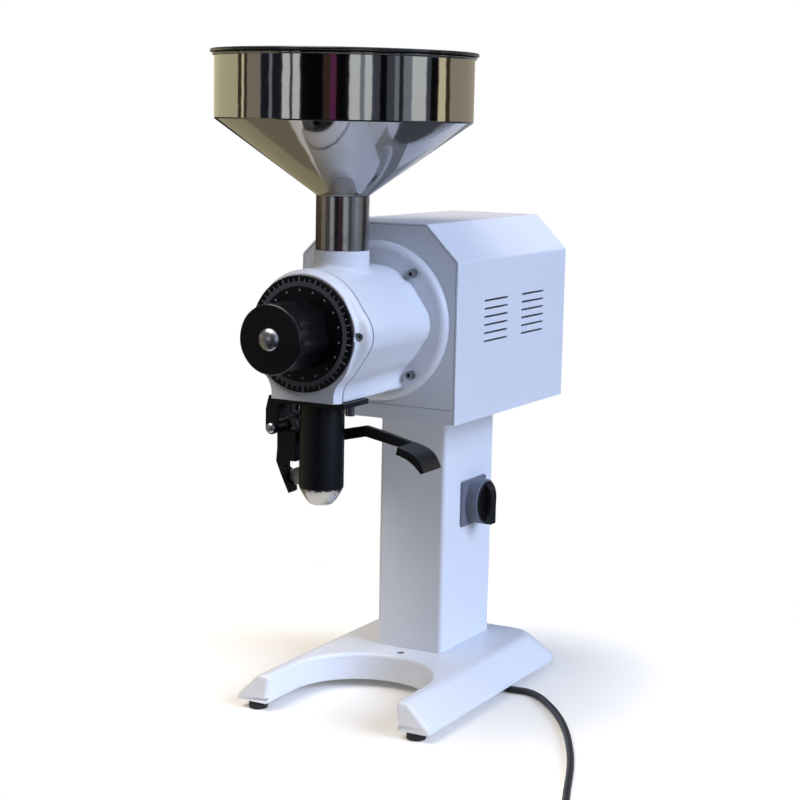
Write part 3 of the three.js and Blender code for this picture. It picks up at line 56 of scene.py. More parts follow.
# %% Sizes that many pieces share, in mm
MM = 0.001
plate_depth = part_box("housing_front_plate")[0].y
shaft_low, shaft_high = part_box("drive_shaft")
axis_z = round((shaft_low.z + shaft_high.z) / 2 / MM, 2)
seam_y = -123.0
spout_y = seam_y + 19.8
hopper_y = seam_y + 52
base_top = 37
housing_bottom = 291.7
housing_top = 484.1
outlet_bottom = axis_z - 63
flange_screws = [(x, z) for x in (-43, 43) for z in (-49, 49)]
print("front plate at", round(plate_depth, 4), "m, shaft axis", axis_z, "mm up")

# %% [markdown]
# ## Camera
# The photograph was taken from the front right, a little above the head, with a long lens. The
# camera's place and turn were fitted to the machine's straight edges.

# %% Camera
yaw, pitch, roll = math.radians(28.35), math.radians(8.83), math.radians(1.15)
look = Vector((-math.sin(yaw) * math.cos(pitch), math.cos(yaw) * math.cos(pitch), -math.sin(pitch)))
level = Vector((math.cos(yaw), math.sin(yaw), 0))
above = level.cross(look)
right = level * math.cos(roll) + above * math.sin(roll)
up = above * math.cos(roll) - level * math.sin(roll)
camera = bpy.data.objects.new("camera", bpy.data.cameras.new("camera"))
camera.data.lens = 81.66
camera.data.sensor_width = 36
camera.data.clip_end = 50
turn = Matrix((right, up, -look)).transposed().to_4x4()
camera.matrix_world = Matrix.Translation(Vector((0.8575, -1.5401, 0.5836 )) + Vector((0, plate_depth, 0))) @ turn
bpy.context.scene.collection.objects.link(camera)
bpy.context.scene.camera = camera
print("camera at", [round(v, 3) for v in camera.location], "with a", camera.data.lens, "mm lens")

# %% [markdown]
# ## Colours and nodes
# Colours are written as the sRGB hex codes that a paint card would give. Blender's shaders work
# in linear light, so one function turns them. A second function adds a shader node with its
# settings and its links, whatever the kind of node.

# %% Colour and node helpers
def linear(code):
    """sRGB hex to a linear colour with alpha."""
    parts = [int(code[i : i + 2], 16) / 255 for i in (0, 2, 4)]
    return (*[c / 12.92 if c <= 0.04045 else ((c + 0.055) / 1.055) ** 2.4 for c in parts], 1)


def add(tree, kind, inputs=None, **settings):
    """A node with its own settings, and values or links for its inputs."""
    node = tree.nodes.new(kind)
    for key, value in settings.items():
        setattr(node, key, value)
    for socket, value in (inputs or {}).items():
        if isinstance(value, bpy.types.NodeSocket):
            tree.links.new(value, node.inputs[socket])
        else:
            node.inputs[socket].default_value = value
    return node


def blank(name, roughness, metallic=0.0, ior=None):
    """A new material, with its node tree and its shader."""
    material = bpy.data.materials.new(name)
    material.use_nodes = True
    shader = material.node_tree.nodes["Principled BSDF"]
    shader.inputs["Roughness"].default_value = roughness
    shader.inputs["Metallic"].default_value = metallic
    if ior:
        shader.inputs["IOR"].default_value = ior
    return material, material.node_tree, shader


def grained(name, pair, grain, depth, roughness, metallic=0.0, ior=None, stretch=(1, 1, 1), cloud=60):
    """A surface whose colour drifts between a pair of hex codes over patches of cloud mm, with a
    grain of that width in mm that is depth mm high and may be stretched along an axis."""
    material, tree, shader = blank(name, roughness[0], metallic, ior)
    place = add(tree, "ShaderNodeTexCoord").outputs["Object"]
    patches = add(tree, "ShaderNodeTexNoise", {"Vector": place, "Scale": 1 / (cloud * MM), "Detail": 3})
    drift = add(tree, "ShaderNodeMix", {"Factor": patches.outputs["Fac"]}, data_type="RGBA")
    drift.inputs["A"].default_value = linear(pair[0])
    drift.inputs["B"].default_value = linear(pair[1])
    tree.links.new(drift.outputs["Result"], shader.inputs["Base Color"])
    drawn_out = add(tree, "ShaderNodeMapping", {"Vector": place, "Scale": stretch})
    fine = add(
        tree,
        "ShaderNodeTexNoise",
        {"Vector": drawn_out.outputs["Vector"], "Scale": 1 / (grain * MM), "Detail": 2},
    )
    gloss = add(
        tree,
        "ShaderNodeMapRange",
        {"Value": fine.outputs["Fac"], "To Min": roughness[0], "To Max": roughness[1]},
    )
    tree.links.new(gloss.outputs["Result"], shader.inputs["Roughness"])
    relief = add(tree, "ShaderNodeBump", {"Height": fine.outputs["Fac"], "Strength": 1, "Distance": depth * MM})
    tree.links.new(relief.outputs["Normal"], shader.inputs["Normal"])
    return material


print("helpers ready")

# %% [markdown]
# ## Finishes
# White polyester powder coat is sprayed on dry and baked. It flows into a satin skin with a
# faint orange peel, coarser on a cast part than on flat sheet.

# %% White powder coat
sheet_coat = grained("polyester_powder_coat_on_sheet", ("E4E7EE", "E9ECF2"), 1.4, 0.012, (0.34, 0.44), ior=1.5)
cast_coat = grained("polyester_powder_coat_on_casting", ("E3E6ED", "E9EBF1"), 2.0, 0.03, (0.3, 0.42), ior=1.5)
print("powder coats:", sheet_coat.name, cast_coat.name)

# %% [markdown]
# The hopper is stainless steel sheet, spun on a lathe and polished until it mirrors the room.
# The polishing wheel leaves hair-fine rings, so the grain is stretched round the axis: it
# changes quickly with height and hardly at all across.

# %% Polished stainless steel
mirror_steel = grained(
    "polished_stainless_steel",
    ("B3B0AC", "ABA7A2"),
    1.1,
    0.0006,
    (0.045, 0.09),
    metallic=1.0,
    stretch=(0.04, 0.04, 1),
    cloud=90,
)
# The wheel reaches the narrow neck less well than the bowl
tree = mirror_steel.node_tree
shader = tree.nodes["Principled BSDF"]
height = add(tree, "ShaderNodeSeparateXYZ", {0: tree.nodes["Texture Coordinate"].outputs["Object"]}).outputs["Z"]
neck_top = (axis_z + 124) * MM
worn = add(
    tree,
    "ShaderNodeMapRange",
    {"Value": height, "From Min": neck_top - 0.002, "From Max": neck_top + 0.002, "To Min": 0.13, "To Max": 0},
)
gloss = shader.inputs["Roughness"].links[0].from_socket
rougher = add(tree, "ShaderNodeMath", {0: gloss, 1: worn.outputs["Result"]}, operation="ADD")
tree.links.new(rougher.outputs[0], shader.inputs["Roughness"])
# The spinner's roller leaves shallow waves, which make the mirrored lines waver
squeezed = add(
    tree,
    "ShaderNodeMapping",
    {"Vector": tree.nodes["Texture Coordinate"].outputs["Object"], "Scale": (1, 1, 1.6)},
)
waves = add(tree, "ShaderNodeTexNoise", {"Vector": squeezed.outputs["Vector"], "Scale": 1 / (24 * MM), "Detail": 1})
wavy = add(tree, "ShaderNodeBump", {"Height": waves.outputs["Fac"], "Strength": 1, "Distance": 0.12 * MM})
tree.links.new(wavy.outputs["Normal"], tree.nodes["Bump"].inputs["Normal"])
bright_chrome = grained("satin_chrome_plated_steel", ("C4C5C8", "B9BABD"), 0.9, 0.004, (0.24, 0.36), metallic=1.0)
# A paler, glossier copy of the zinc for the two outlet screws: its lighter colour is a painted highlight
zinc_with_painted_highlight = grained("zinc_plated_steel_painted_highlight", ("C8C9C6", "B9BAB8"), 0.8, 0.002, (0.14, 0.24), metallic=1.0, cloud=6)
zinc_plate = grained("zinc_plated_steel", ("8F908F", "7D7E7E"), 0.8, 0.004, (0.26, 0.42), metallic=1.0, cloud=6)
print("bright metals:", mirror_steel.name, bright_chrome.name, zinc_plate.name)

# %% [markdown]
# The outlet, its bracket and the bag clamp are steel with a satin black baked enamel. The knob
# is moulded phenolic plastic, whose skin is smoother, and the dial is an anodised aluminium disc.

# %% Blacks
black_enamel = grained("black_baked_enamel", ("05070B", "080A0F"), 1.2, 0.004, (0.3, 0.4), ior=1.5, cloud=30)
knob_phenolic = grained("moulded_black_phenolic", ("07080B", "0A0C10"), 0.8, 0.002, (0.2, 0.28), ior=1.55, cloud=25)
dial_anodised = grained("black_anodised_aluminium", ("050608", "08090C"), 0.5, 0.001, (0.2, 0.27), ior=1.5, cloud=30)
dial_print = grained("grey_screen_print", ("7F848F", "8A8F9A"), 0.6, 0.001, (0.5, 0.6), cloud=12)
dial_band = grained("dark_grey_screen_print", ("45474F", "4D4F58"), 0.6, 0.001, (0.45, 0.55), cloud=12)
lid_plastic = grained("moulded_black_polycarbonate", ("14160F", "1A1C16"), 1.0, 0.002, (0.16, 0.24), ior=1.58, cloud=60)
print("blacks ready")

# %% [markdown]
# Rubber and soft PVC scatter light at a shallow angle and never shine much. The feet are
# moulded nitrile rubber, the bag clamp's buffer is a grey silicone cylinder, and the mains lead
# has a PVC sheath.

# %% Rubbers and plastics
nitrile = grained("moulded_nitrile_rubber", ("121212", "1B1B1B"), 0.7, 0.02, (0.6, 0.8), ior=1.52, cloud=10)
grey_silicone = grained("grey_silicone_rubber", ("B2B5B9", "BDC0C3"), 0.8, 0.01, (0.5, 0.65), ior=1.43, cloud=8)
pvc_sheath = grained("black_pvc_sheath", ("0C0D0F", "121316"), 1.4, 0.01, (0.34, 0.46), ior=1.53, cloud=25)
grey_abs = grained("moulded_grey_abs", ("6C707E", "757987"), 1.0, 0.012, (0.38, 0.5), ior=1.53, cloud=20)
black_abs = grained("moulded_black_abs", ("07070A", "0B0C10"), 1.0, 0.008, (0.3, 0.4), ior=1.53, cloud=20)
print("rubbers and plastics ready")

# %% [markdown]
# The spout's tip is bare aluminium, turned on a lathe. The tool leaves fine rings round the
# axis. The metals inside the machine are cast, ground, wound or stamped.

# %% Bare and inner metals
turned_aluminium = grained(
    "turned_aluminium", ("C9C8C3", "BDBCB7"), 0.9, 0.002, (0.09, 0.16), metallic=1.0, stretch=(0.05, 0.05, 1), cloud=12
)
ground_steel = grained(
    "ground_tool_steel", ("95979A", "87898C"), 0.7, 0.004, (0.22, 0.36), metallic=1.0, stretch=(1, 0.06, 1), cloud=15
)
cast_iron = grained("grey_cast_iron", ("54575B", "63666A"), 1.6, 0.05, (0.5, 0.66), metallic=0.8, cloud=14)
winding = grained(
    "varnished_copper_winding", ("8A4B26", "A8622F"), 1.0, 0.12, (0.3, 0.42), metallic=0.4, stretch=(1, 0.1, 1), cloud=8
)
bearing_steel = grained("polished_bearing_steel", ("C6C8CA", "BBBDC0"), 0.6, 0.001, (0.1, 0.18), metallic=1.0, cloud=9)
pin_brass = grained("nickel_plated_brass", ("C2B486", "B5A678"), 0.6, 0.002, (0.2, 0.3), metallic=1.0, cloud=5)
print("inner metals ready")

# %% [markdown]
# ## Drawing helpers
# Most pieces of this machine are turned, folded or cast, so a few helpers cover them: points
# along an arc, a flat outline pushed out to a plate, a half section spun round an axis, solids
# cut out of each other, and edges rounded as a paint film or a mould would leave them.

# %% Outlines
WAYS = {"X": Vector((1, 0, 0)), "Y": Vector((0, 1, 0)), "Z": Vector((0, 0, 1))}


def arc(x, y, radius, start, end, steps):
    """Points on an arc, with its angles in degrees."""
    angles = [math.radians(start + (end - start) * i / steps) for i in range(steps + 1)]
    return [(x + radius * math.cos(a), y + radius * math.sin(a)) for a in angles]


def disc(x, y, radius, steps=48):
    return arc(x, y, radius, 0, 360, steps)[:-1]


def rounded_box(x, y, half_x, half_y, corner, steps=8):
    """A rectangle round a middle point, with round corners."""
    points = []
    for k, (sx, sy) in enumerate([(1, 1), (-1, 1), (-1, -1), (1, -1)]):
        centre = (x + sx * (half_x - corner), y + sy * (half_y - corner))
        points += arc(*centre, corner, 90 * k, 90 * k + 90, steps)
    return points


def eased(points, steps=5):
    """A smooth line through the points."""
    line = []
    ends = [points[0], *points, points[-1]]
    for a, b, c, d in zip(ends, ends[1:], ends[2:], ends[3:]):
        for i in range(steps):
            t = i / steps
            weights = (
                (-t + 2 * t * t - t**3) / 2,
                (2 - 5 * t * t + 3 * t**3) / 2,
                (t + 4 * t * t - 3 * t**3) / 2,
                (t**3 - t * t) / 2,
            )
            line.append(tuple(sum(w * p[k] for w, p in zip(weights, (a, b, c, d))) for k in range(len(a))))
    return line + [tuple(points[-1])]


print("outline helpers ready")

# %% Solids from outlines
def plate(outline, way, start, end):
    """An outline pushed from one level to the other. Seen along the way: Z takes (x, y) points,
    Y takes (x, z) and X takes (y, z)."""
    bm = bmesh.new()
    spots = {"Z": lambda u, v: (u, v, start), "Y": lambda u, v: (u, start, v), "X": lambda u, v: (start, u, v)}
    bm.faces.new([bm.verts.new(spots[way](u, v)) for u, v in outline])
    pushed = bmesh.ops.extrude_face_region(bm, geom=bm.faces[:])["geom"]
    corners = [v for v in pushed if isinstance(v, bmesh.types.BMVert)]
    bmesh.ops.translate(bm, verts=corners, vec=WAYS[way] * (end - start))
    bmesh.ops.recalc_face_normals(bm, faces=bm.faces)
    return bm


def spun(section, way="Z", at=(0, 0, 0), steps=96):
    """A half section of (radius, place along the axis) points, spun once round."""
    bm = bmesh.new()
    verts = [bm.verts.new((radius, 0, along)) for radius, along in section]
    edges = [bm.edges.new(pair) for pair in zip(verts, verts[1:])]
    bmesh.ops.spin(
        bm,
        geom=verts + edges,
        cent=(0, 0, 0),
        axis=(0, 0, 1),
        dvec=(0, 0, 0),
        angle=2 * math.pi,
        steps=steps,
        use_merge=True,
        use_duplicate=False,
    )
    bmesh.ops.remove_doubles(bm, verts=bm.verts, dist=0.0005)
    bmesh.ops.recalc_face_normals(bm, faces=bm.faces)
    if way == "Y":
        bmesh.ops.rotate(bm, verts=bm.verts, cent=(0, 0, 0), matrix=Matrix.Rotation(-math.pi / 2, 3, "X"))
    if way == "X":
        bmesh.ops.rotate(bm, verts=bm.verts, cent=(0, 0, 0), matrix=Matrix.Rotation(math.pi / 2, 3, "Y"))
    bmesh.ops.translate(bm, verts=bm.verts, vec=at)
    return bm


def rod(radius, start, end, lip=0.0):
    """Half section of a plain bar, with an optional chamfer at both ends."""
    if not lip:
        return [(0, start), (radius, start), (radius, end), (0, end)]
    return [
        (0, start),
        (radius - lip, start),
        (radius, start + lip),
        (radius, end - lip),
        (radius - lip, end),
        (0, end),
    ]


def soften(bm, width, segments=3, angle=30, only=None):
    """Rounds the edges that are sharper than the angle, or those of them that only() picks."""
    sharp = [
        e
        for e in bm.edges
        if len(e.link_faces) == 2 and math.degrees(e.calc_face_angle(0)) > angle and (only is None or only(e))
    ]
    bmesh.ops.bevel(
        bm, geom=sharp, offset=width, segments=segments, profile=0.5, affect="EDGES", material=-1, clamp_overlap=True
    )
    return bm


print("solid helpers ready")

# %% [markdown]
# Cutting one solid out of another is a Boolean modifier. It is applied at once, and the cutters
# are thrown away, so that only the finished mesh is left.

# %% Cut, join and finish a piece
def worked(bm, tools, operation):
    """bm with the other solids cut out of it or joined to it."""
    scene = bpy.context.scene.collection
    helpers = []
    for i, part in enumerate([bm, *tools]):
        mesh = bpy.data.meshes.new(f"helper_{i}")
        part.to_mesh(mesh)
        part.free()
        helpers.append(bpy.data.objects.new(f"helper_{i}", mesh))
        scene.objects.link(helpers[-1])
    for tool in helpers[1:]:
        step = helpers[0].modifiers.new("cut", "BOOLEAN")
        step.operation = operation
        step.solver = "EXACT"
        step.object = tool
    made = bmesh.new()
    made.from_mesh(helpers[0].evaluated_get(bpy.context.evaluated_depsgraph_get()).to_mesh())
    for helper in helpers:
        mesh = helper.data
        bpy.data.objects.remove(helper)
        bpy.data.meshes.remove(mesh)
    return made


def cut(bm, *tools):
    return worked(bm, tools, "DIFFERENCE")


def join(bm, *others):
    return worked(bm, others, "UNION")


def piece(name, bm, body, material, stands_for=(), crease=32):
    """Puts a drawn solid in the shared frame, as a piece that rides on a body. Edges sharper
    than the crease stay sharp, and the rest is shaded smooth."""
    bmesh.ops.scale(bm, verts=bm.verts, vec=(MM, MM, MM))
    bmesh.ops.translate(bm, verts=bm.verts, vec=(0, plate_depth, 0))
    for face in bm.faces:
        face.smooth = True
    for edge in bm.edges:
        edge.smooth = len(edge.link_faces) == 2 and math.degrees(edge.calc_face_angle(0)) < crease
    mesh = bpy.data.meshes.new(name)
    bm.to_mesh(mesh)
    bm.free()
    mesh.materials.append(material)
    made = bpy.data.objects.new(name, mesh)
    bpy.context.scene.collection.objects.link(made)
    even = made.modifiers.new("even shading", "WEIGHTED_NORMAL")
    even.keep_sharp = True
    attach(made, body)
    if stands_for:
        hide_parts(*stands_for)
    print(name, len(mesh.polygons), "faces")
    return made


# %% [markdown]
# ## Mains lead
# A 7 mm three-core PVC lead, 1.8 m long, leaves the right side of the base through a rubber
# gland. It drops to the table, runs to the right and forwards, and the rest of it is put away in
# a flat coil with the plug beside it, outside the picture. A cable is one round section pushed
# along one smooth line, so a Bezier curve with a round bevel makes it.

# %% Route of the lead
route = [
    (56.3, 105, 18),
    (63.3, 105, 18),
    (73, 105, 15.9),
    (82, 105, 10.8),
    (91, 105, 5.9),
    (101, 105, 3.8),
    (112, 106.2, 3.55),
    (125, 106.6, 3.55),
    (139, 99.8, 3.55),
    (158.9, 81.3, 3.55),
    (181.7, 53.7, 3.55),
    (203.5, 20.8, 3.55),
    (221.9, -12.9, 3.55),
    (245.2, -62.7, 3.55),
    (271.9, -133.1, 3.55),
    (290, -181, 3.55),
    (307, -225.5, 3.55),
]
cord_radius = 3.5
coil_radius, coil_pitch, coil_layer = 50.5, 7.8, 7.7
coil_turns, coil_steps = 5.308, 24
entry = math.radians(20.9)
heading = Vector((math.sin(entry), -math.cos(entry), 0))
first_loop = Vector(route[-1]) + heading * 7.3
coil_middle = first_loop - Vector((math.cos(entry), math.sin(entry), 0)) * coil_radius
coil = []
loops = round(coil_turns * coil_steps)
for i in range(loops + 1):
    done = coil_turns * i / loops
    angle = entry - 2 * math.pi * done
    radius = coil_radius - coil_pitch * min(done, coil_turns - done)
    rise = min(1, max(0, (done - (coil_turns - 0.5) / 2) / 0.5))
    rise = rise * rise * (3 - 2 * rise)
    coil.append(coil_middle + Vector((radius * math.cos(angle), radius * math.sin(angle), coil_layer * rise)))
last = entry - 2 * math.pi * coil_turns
plug_way = Vector((math.sin(last), -math.cos(last), 0))
coil.append(coil[-1] + plug_way * 14)
lead_line = [Vector(p) for p in route] + coil

# %% The lead as one curve
lead_curve = bpy.data.curves.new("mains_lead", "CURVE")
lead_curve.dimensions = "3D"
lead_curve.bevel_depth = cord_radius * MM
lead_curve.bevel_resolution = 4
lead_curve.resolution_u = 6
lead_curve.use_fill_caps = True
spline = lead_curve.splines.new("BEZIER")
spline.bezier_points.add(len(lead_line) - 1)
for knot, spot in zip(spline.bezier_points, lead_line):
    knot.co = spot * MM + Vector((0, plate_depth, 0))
    knot.handle_left_type = knot.handle_right_type = "AUTO"
lead_curve.materials.append(pvc_sheath)
lead = bpy.data.objects.new("mains_lead", lead_curve)
bpy.context.scene.collection.objects.link(lead)
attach(lead, "stand")
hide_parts("power_cord", "cord_coil")

# %% [markdown]
# The gland is a moulded strain relief: a collar on each side of the base's boss, and a tapered
# nose with bend ribs, so that the lead can't kink where it leaves.

# %% Gland
gland_y, gland_z = 105, 18
nose = [(9.5, 31.3), (7.6, 32.2)]
for i in range(6):
    x = 33.4 + 3.6 * i
    r = 7.2 - 0.36 * i
    nose += [(r, x), (r, x + 1.8), (r - 1.1, x + 2.1), (r - 1.1, x + 3.3)]
gland_section = [(3.6, 10.7), (8.9, 10.7), (9.5, 11.3), (9.5, 15.7), (7, 15.7), (7, 26.3), (9.1, 26.3), (9.5, 26.8)]
gland_section += nose + [(4.9, 55.5), (4.3, 56), (3.6, 56), (3.6, 10.7)]
gland = piece(
    "lead_gland", spun(gland_section, "X", (0, gland_y, gland_z), 48), "stand", nitrile, ["cord_gland"]
)

# %% [markdown]
# The plug is moulded onto the lead. Its body starts as a round nose and widens to a grip with
# shallow side hollows. The blades and the round earth pin are stamped and turned brass.

# %% Plug
plug_start = coil[-1] + plug_way * 0.3
plug_turn = Matrix.Rotation(math.atan2(plug_way.y, plug_way.x), 4, "Z")
stations = [
    (0, 4.4, 4.4),
    (0.8, 4.8, 4.8),
    (8, 5.6, 5.6),
    (16, 6.6, 6.4),
    (20, 7.2, 7.0),
    (23, 10.4, 9.2),
    (26, 12.6, 10.7),
    (30, 13, 11),
    (36, 11.6, 10.6),
    (42, 11.8, 10.6),
    (47, 13, 11),
    (49.2, 12.8, 10.8),
    (50, 12.1, 10.1),
]
plug = bmesh.new()
ring = bmesh.ops.create_circle(plug, cap_ends=True, radius=1, segments=32)["verts"]
bmesh.ops.rotate(plug, verts=plug.verts, cent=(0, 0, 0), matrix=Matrix.Rotation(math.pi / 2, 3, "Y"))
for vert in ring:
    side = max(abs(vert.co.y), abs(vert.co.z))
    vert.co *= 1 + 0.16 * (1 - side) / 0.29
bmesh.ops.scale(plug, verts=ring, vec=(1, *stations[0][1:]))
cap = plug.faces[:]
for (x0, w0, h0), (x1, w1, h1) in zip(stations, stations[1:]):
    pushed = bmesh.ops.extrude_face_region(plug, geom=cap)["geom"]
    if x0 > 0:
        bmesh.ops.delete(plug, geom=cap, context="FACES_ONLY")
    cap = [f for f in pushed if isinstance(f, bmesh.types.BMFace)]
    corners = [v for v in pushed if isinstance(v, bmesh.types.BMVert)]
    bmesh.ops.scale(plug, verts=corners, vec=(1, w1 / w0, h1 / h0))
    bmesh.ops.translate(plug, verts=corners, vec=(x1 - x0, 0, 0))
bmesh.ops.recalc_face_normals(plug, faces=plug.faces)
bmesh.ops.transform(plug, matrix=Matrix.Translation(plug_start) @ plug_turn, verts=plug.verts)
plug_piece = piece("moulded_plug", plug, "stand", pvc_sheath, ["plug_body"])

blade_start = 50.3
for name, side in (("plug_blade_left", -1), ("plug_blade_right", 1)):
    blade = plate(rounded_box(side * 6.35, 0, 0.8, 3.2, 0.35, 3), "X", blade_start, blade_start + 17)
    soften(blade, 0.25, 2, 60)
    bmesh.ops.transform(blade, matrix=Matrix.Translation(plug_start) @ plug_turn, verts=blade.verts)
    piece(name.replace("plug", "brass"), blade, "stand", pin_brass, [name])
earth = spun(rod(2.4, blade_start, blade_start + 17, 0.8), "X", (0, 0, -6), 32)
bmesh.ops.transform(earth, matrix=Matrix.Translation(plug_start) @ plug_turn, verts=earth.verts)
piece("brass_earth_pin", earth, "stand", pin_brass, ["plug_earth_pin"])

# %% [markdown]
# ## Floor, backdrop and light
# The machine stands on a white table top that throws light back up at the base and the column,
# and the room's floor beyond it throws back much less. To the camera both are the same white:
# near the machine it sees the lit surface with a little glow on top, which keeps the shadows,
# and further out it sees plain white.

# %% Floor
floor_mesh = bmesh.new()
bmesh.ops.create_grid(floor_mesh, x_segments=1, y_segments=1, size=60)
bmesh.ops.translate(floor_mesh, verts=floor_mesh.verts, vec=(0, 0, -0.0002))
mesh = bpy.data.meshes.new("floor")
floor_mesh.to_mesh(mesh)
floor_mesh.free()
floor = bpy.data.objects.new("floor", mesh)
bpy.context.scene.collection.objects.link(floor)
floor_paint, tree, shader = blank("matt_white_table_top", 0.95)
shader.inputs["Specular IOR Level"].default_value = 0.1
base_middle = (0, 0.076 + plate_depth, 0)
place = add(tree, "ShaderNodeTexCoord").outputs["Object"]
away = add(tree, "ShaderNodeVectorMath", {0: place, 1: base_middle}, operation="DISTANCE").outputs["Value"]


def over(tree, value, start, end, low, high):
    """Goes smoothly from low to high while the value goes from start to end."""
    limits = {"Value": value, "From Min": start, "From Max": end, "To Min": low, "To Max": high}
    return add(tree, "ShaderNodeMapRange", limits, interpolation_type="SMOOTHSTEP").outputs["Result"]


beyond = over(tree, away, 0.26, 0.5, 0, 1)
shader.inputs["Base Color"].default_value = linear("EEECE8")
dull = add(tree, "ShaderNodeBsdfDiffuse", {"Color": linear("5C5A56")})
lighting = add(tree, "ShaderNodeMixShader", {0: beyond, 1: shader.outputs["BSDF"], 2: dull.outputs["BSDF"]})
rays = add(tree, "ShaderNodeLightPath")
glow = add(
    tree, "ShaderNodeEmission", {"Color": linear("FFFDFA"), "Strength": over(tree, away, 0.1, 0.4, 0.12, 0.5)}
)
plain = add(tree, "ShaderNodeEmission", {"Color": (1, 1, 1, 1), "Strength": 1})
lifted = add(tree, "ShaderNodeAddShader", {0: shader.outputs["BSDF"], 1: glow.outputs["Emission"]})
open_floor = add(tree, "ShaderNodeMixShader", {0: beyond, 1: lifted.outputs["Shader"], 2: plain.outputs["Emission"]})
seen = add(
    tree,
    "ShaderNodeMixShader",
    {0: rays.outputs["Is Camera Ray"], 1: lighting.outputs["Shader"], 2: open_floor.outputs["Shader"]},
)
tree.links.new(seen.outputs["Shader"], tree.nodes["Material Output"].inputs["Surface"])
mesh.materials.append(floor_paint)

# %% [markdown]
# Low blue-white daylight comes through windows on the right, and the room's own warmer light
# comes from above and in front. Both are wide, so that every shadow is soft. So the sides are
# bright and bluish, the tops neutral, and the faces towards the front grey.

# %% World and lamps
world = bpy.data.worlds.new("studio")
bpy.context.scene.world = world
world.use_nodes = True
tree = world.node_tree
rays = add(tree, "ShaderNodeLightPath")
ambient = add(tree, "ShaderNodeBackground", {"Color": linear("F6F6F4"), "Strength": 0.08})
white = add(tree, "ShaderNodeBackground", {"Color": (1, 1, 1, 1), "Strength": 1})
direct = add(
    tree, "ShaderNodeMath", {0: rays.outputs["Is Camera Ray"], 1: rays.outputs["Is Glossy Ray"]}, operation="MAXIMUM"
)
seen_white = add(
    tree, "ShaderNodeMath", {0: direct.outputs[0], 1: rays.outputs["Is Transmission Ray"]}, operation="MAXIMUM"
)
backdrop = add(
    tree,
    "ShaderNodeMixShader",
    {0: seen_white.outputs[0], 1: ambient.outputs["Background"], 2: white.outputs["Background"]},
)
tree.links.new(backdrop.outputs["Shader"], tree.nodes["World Output"].inputs["Surface"])


def daylight(name, bearing, height, energy, colour, width):
    """A wide sun. Its bearing is measured from the machine's right towards its front, and all
    angles are in degrees."""
    light = bpy.data.objects.new(name, bpy.data.lights.new(name, "SUN"))
    light.data.energy = energy
    light.data.color = linear(colour)[:3]
    light.data.angle = math.radians(width)
    a, b = math.radians(bearing), math.radians(height)
    light.location = (3 * math.cos(a) * math.cos(b), -3 * math.sin(a) * math.cos(b), 3 * math.sin(b))
    light.rotation_euler = light.location.to_track_quat("Z", "Y").to_euler()
    bpy.context.scene.collection.objects.link(light)


daylight("window_light", 2, 27, 3.3, "CCDDFF", 44)
daylight("room_light", 125, 64, 2.35, "FFF5E8", 44)
print("studio lit")

# %% [markdown]
# A polished hopper shows nothing but what stands round it. Studios put cards beside such a
# piece to give it dark and warm bands. These cards can only be seen in reflections, and they
# throw no shadow and no light on anything else. Darker mats lie on the floor: the one behind
# gives the hopper's cone its warm sides, and the one in front keeps the black parts black.

# %% Reflection cards
card_codes = {
    "black": "0D0C0F",
    "navy": "252833",
    "brown": "473A30",
    "plum": "6E3660",
    "stone": "A3968A",
    "tan": "DCD4B2",
    "olive": "BCB495",
    "putty": "B4AC9A",
    "slate": "525765",
    "umber": "8A826F",
    "moss": "AAA284",
    "grey": "9299A6",
    "sky": "F0F8FF",
    "cream": "FFF6D4",
}
card_paints = {}
for name, code in card_codes.items():
    paint = bpy.data.materials.new("card_" + name)
    paint.use_nodes = True
    paint.node_tree.nodes.clear()
    out = add(paint.node_tree, "ShaderNodeOutputMaterial")
    glow = add(paint.node_tree, "ShaderNodeEmission", {"Color": linear(code), "Strength": 1})
    paint.node_tree.links.new(glow.outputs["Emission"], out.inputs["Surface"])
    card_paints[name] = paint


def hang(bm, name, paint):
    """A card that only reflections show."""
    mesh = bpy.data.meshes.new(name)
    bm.to_mesh(mesh)
    bm.free()
    mesh.materials.append(card_paints[paint])
    card = bpy.data.objects.new(name, mesh)
    bpy.context.scene.collection.objects.link(card)
    card.visible_camera = card.visible_diffuse = card.visible_shadow = card.visible_transmission = False


# Each card ends at a bearing seen from the hopper: 0 is towards the camera, positive to its right
hopper_axis = Vector((0, hopper_y * MM + plate_depth, 0))
towards = Vector((camera.location.x - hopper_axis.x, camera.location.y - hopper_axis.y, 0)).normalized()
card_start = -182
card_row = [
    ("tan", -104),
    ("brown", -99),
    ("cream", -96),
    ("brown", -92),
    ("stone", -76),
    ("navy", -67),
    ("grey", -64),
    ("navy", -54),
    ("sky", -47),
    ("navy", -44.5),
    ("sky", -38),
    ("black", -18),
    ("brown", -12),
    ("plum", -7),
    ("black", 4),
    ("sky", 13),
    ("grey", 17),
    ("sky", 23),
    ("slate", 30),
    ("black", 36),
    ("slate", 43),
    ("grey", 47),
    ("navy", 51),
    ("grey", 59),
    ("sky", 74),
    ("slate", 79),
    ("black", 88),
    ("cream", 97),
    ("brown", 103),
    ("putty", 178),
]
low_row = [("navy", 150), ("grey", 178)]
neck_row = [("brown", -104), *card_row[1:24], ("grey", 92), ("navy", 125), ("grey", 178)]
high_row = [("slate", -60), ("navy", 60), ("slate", 178)]
card_reach, card_levels, card_arc = 2.6, (0, 0.22, 0.5, 0.95, 3.2), 6


def card_ring(name, row, low, high):
    """A ring of cards round the hopper's axis, between two heights."""
    start = card_start
    for i, (paint, end) in enumerate(row):
        bm = bmesh.new()
        bmesh.ops.create_grid(bm, x_segments=max(1, round((end - start) / card_arc)), y_segments=1, size=0.5)
        for vert in bm.verts:
            angle = math.radians(start + (vert.co.x + 0.5) * (end - start))
            across = Matrix.Rotation(angle, 3, "Z") @ towards
            vert.co = hopper_axis + across * card_reach + Vector((0, 0, low + (vert.co.y + 0.5) * (high - low)))
        hang(bm, f"{name}_{i}", paint)
        start = end


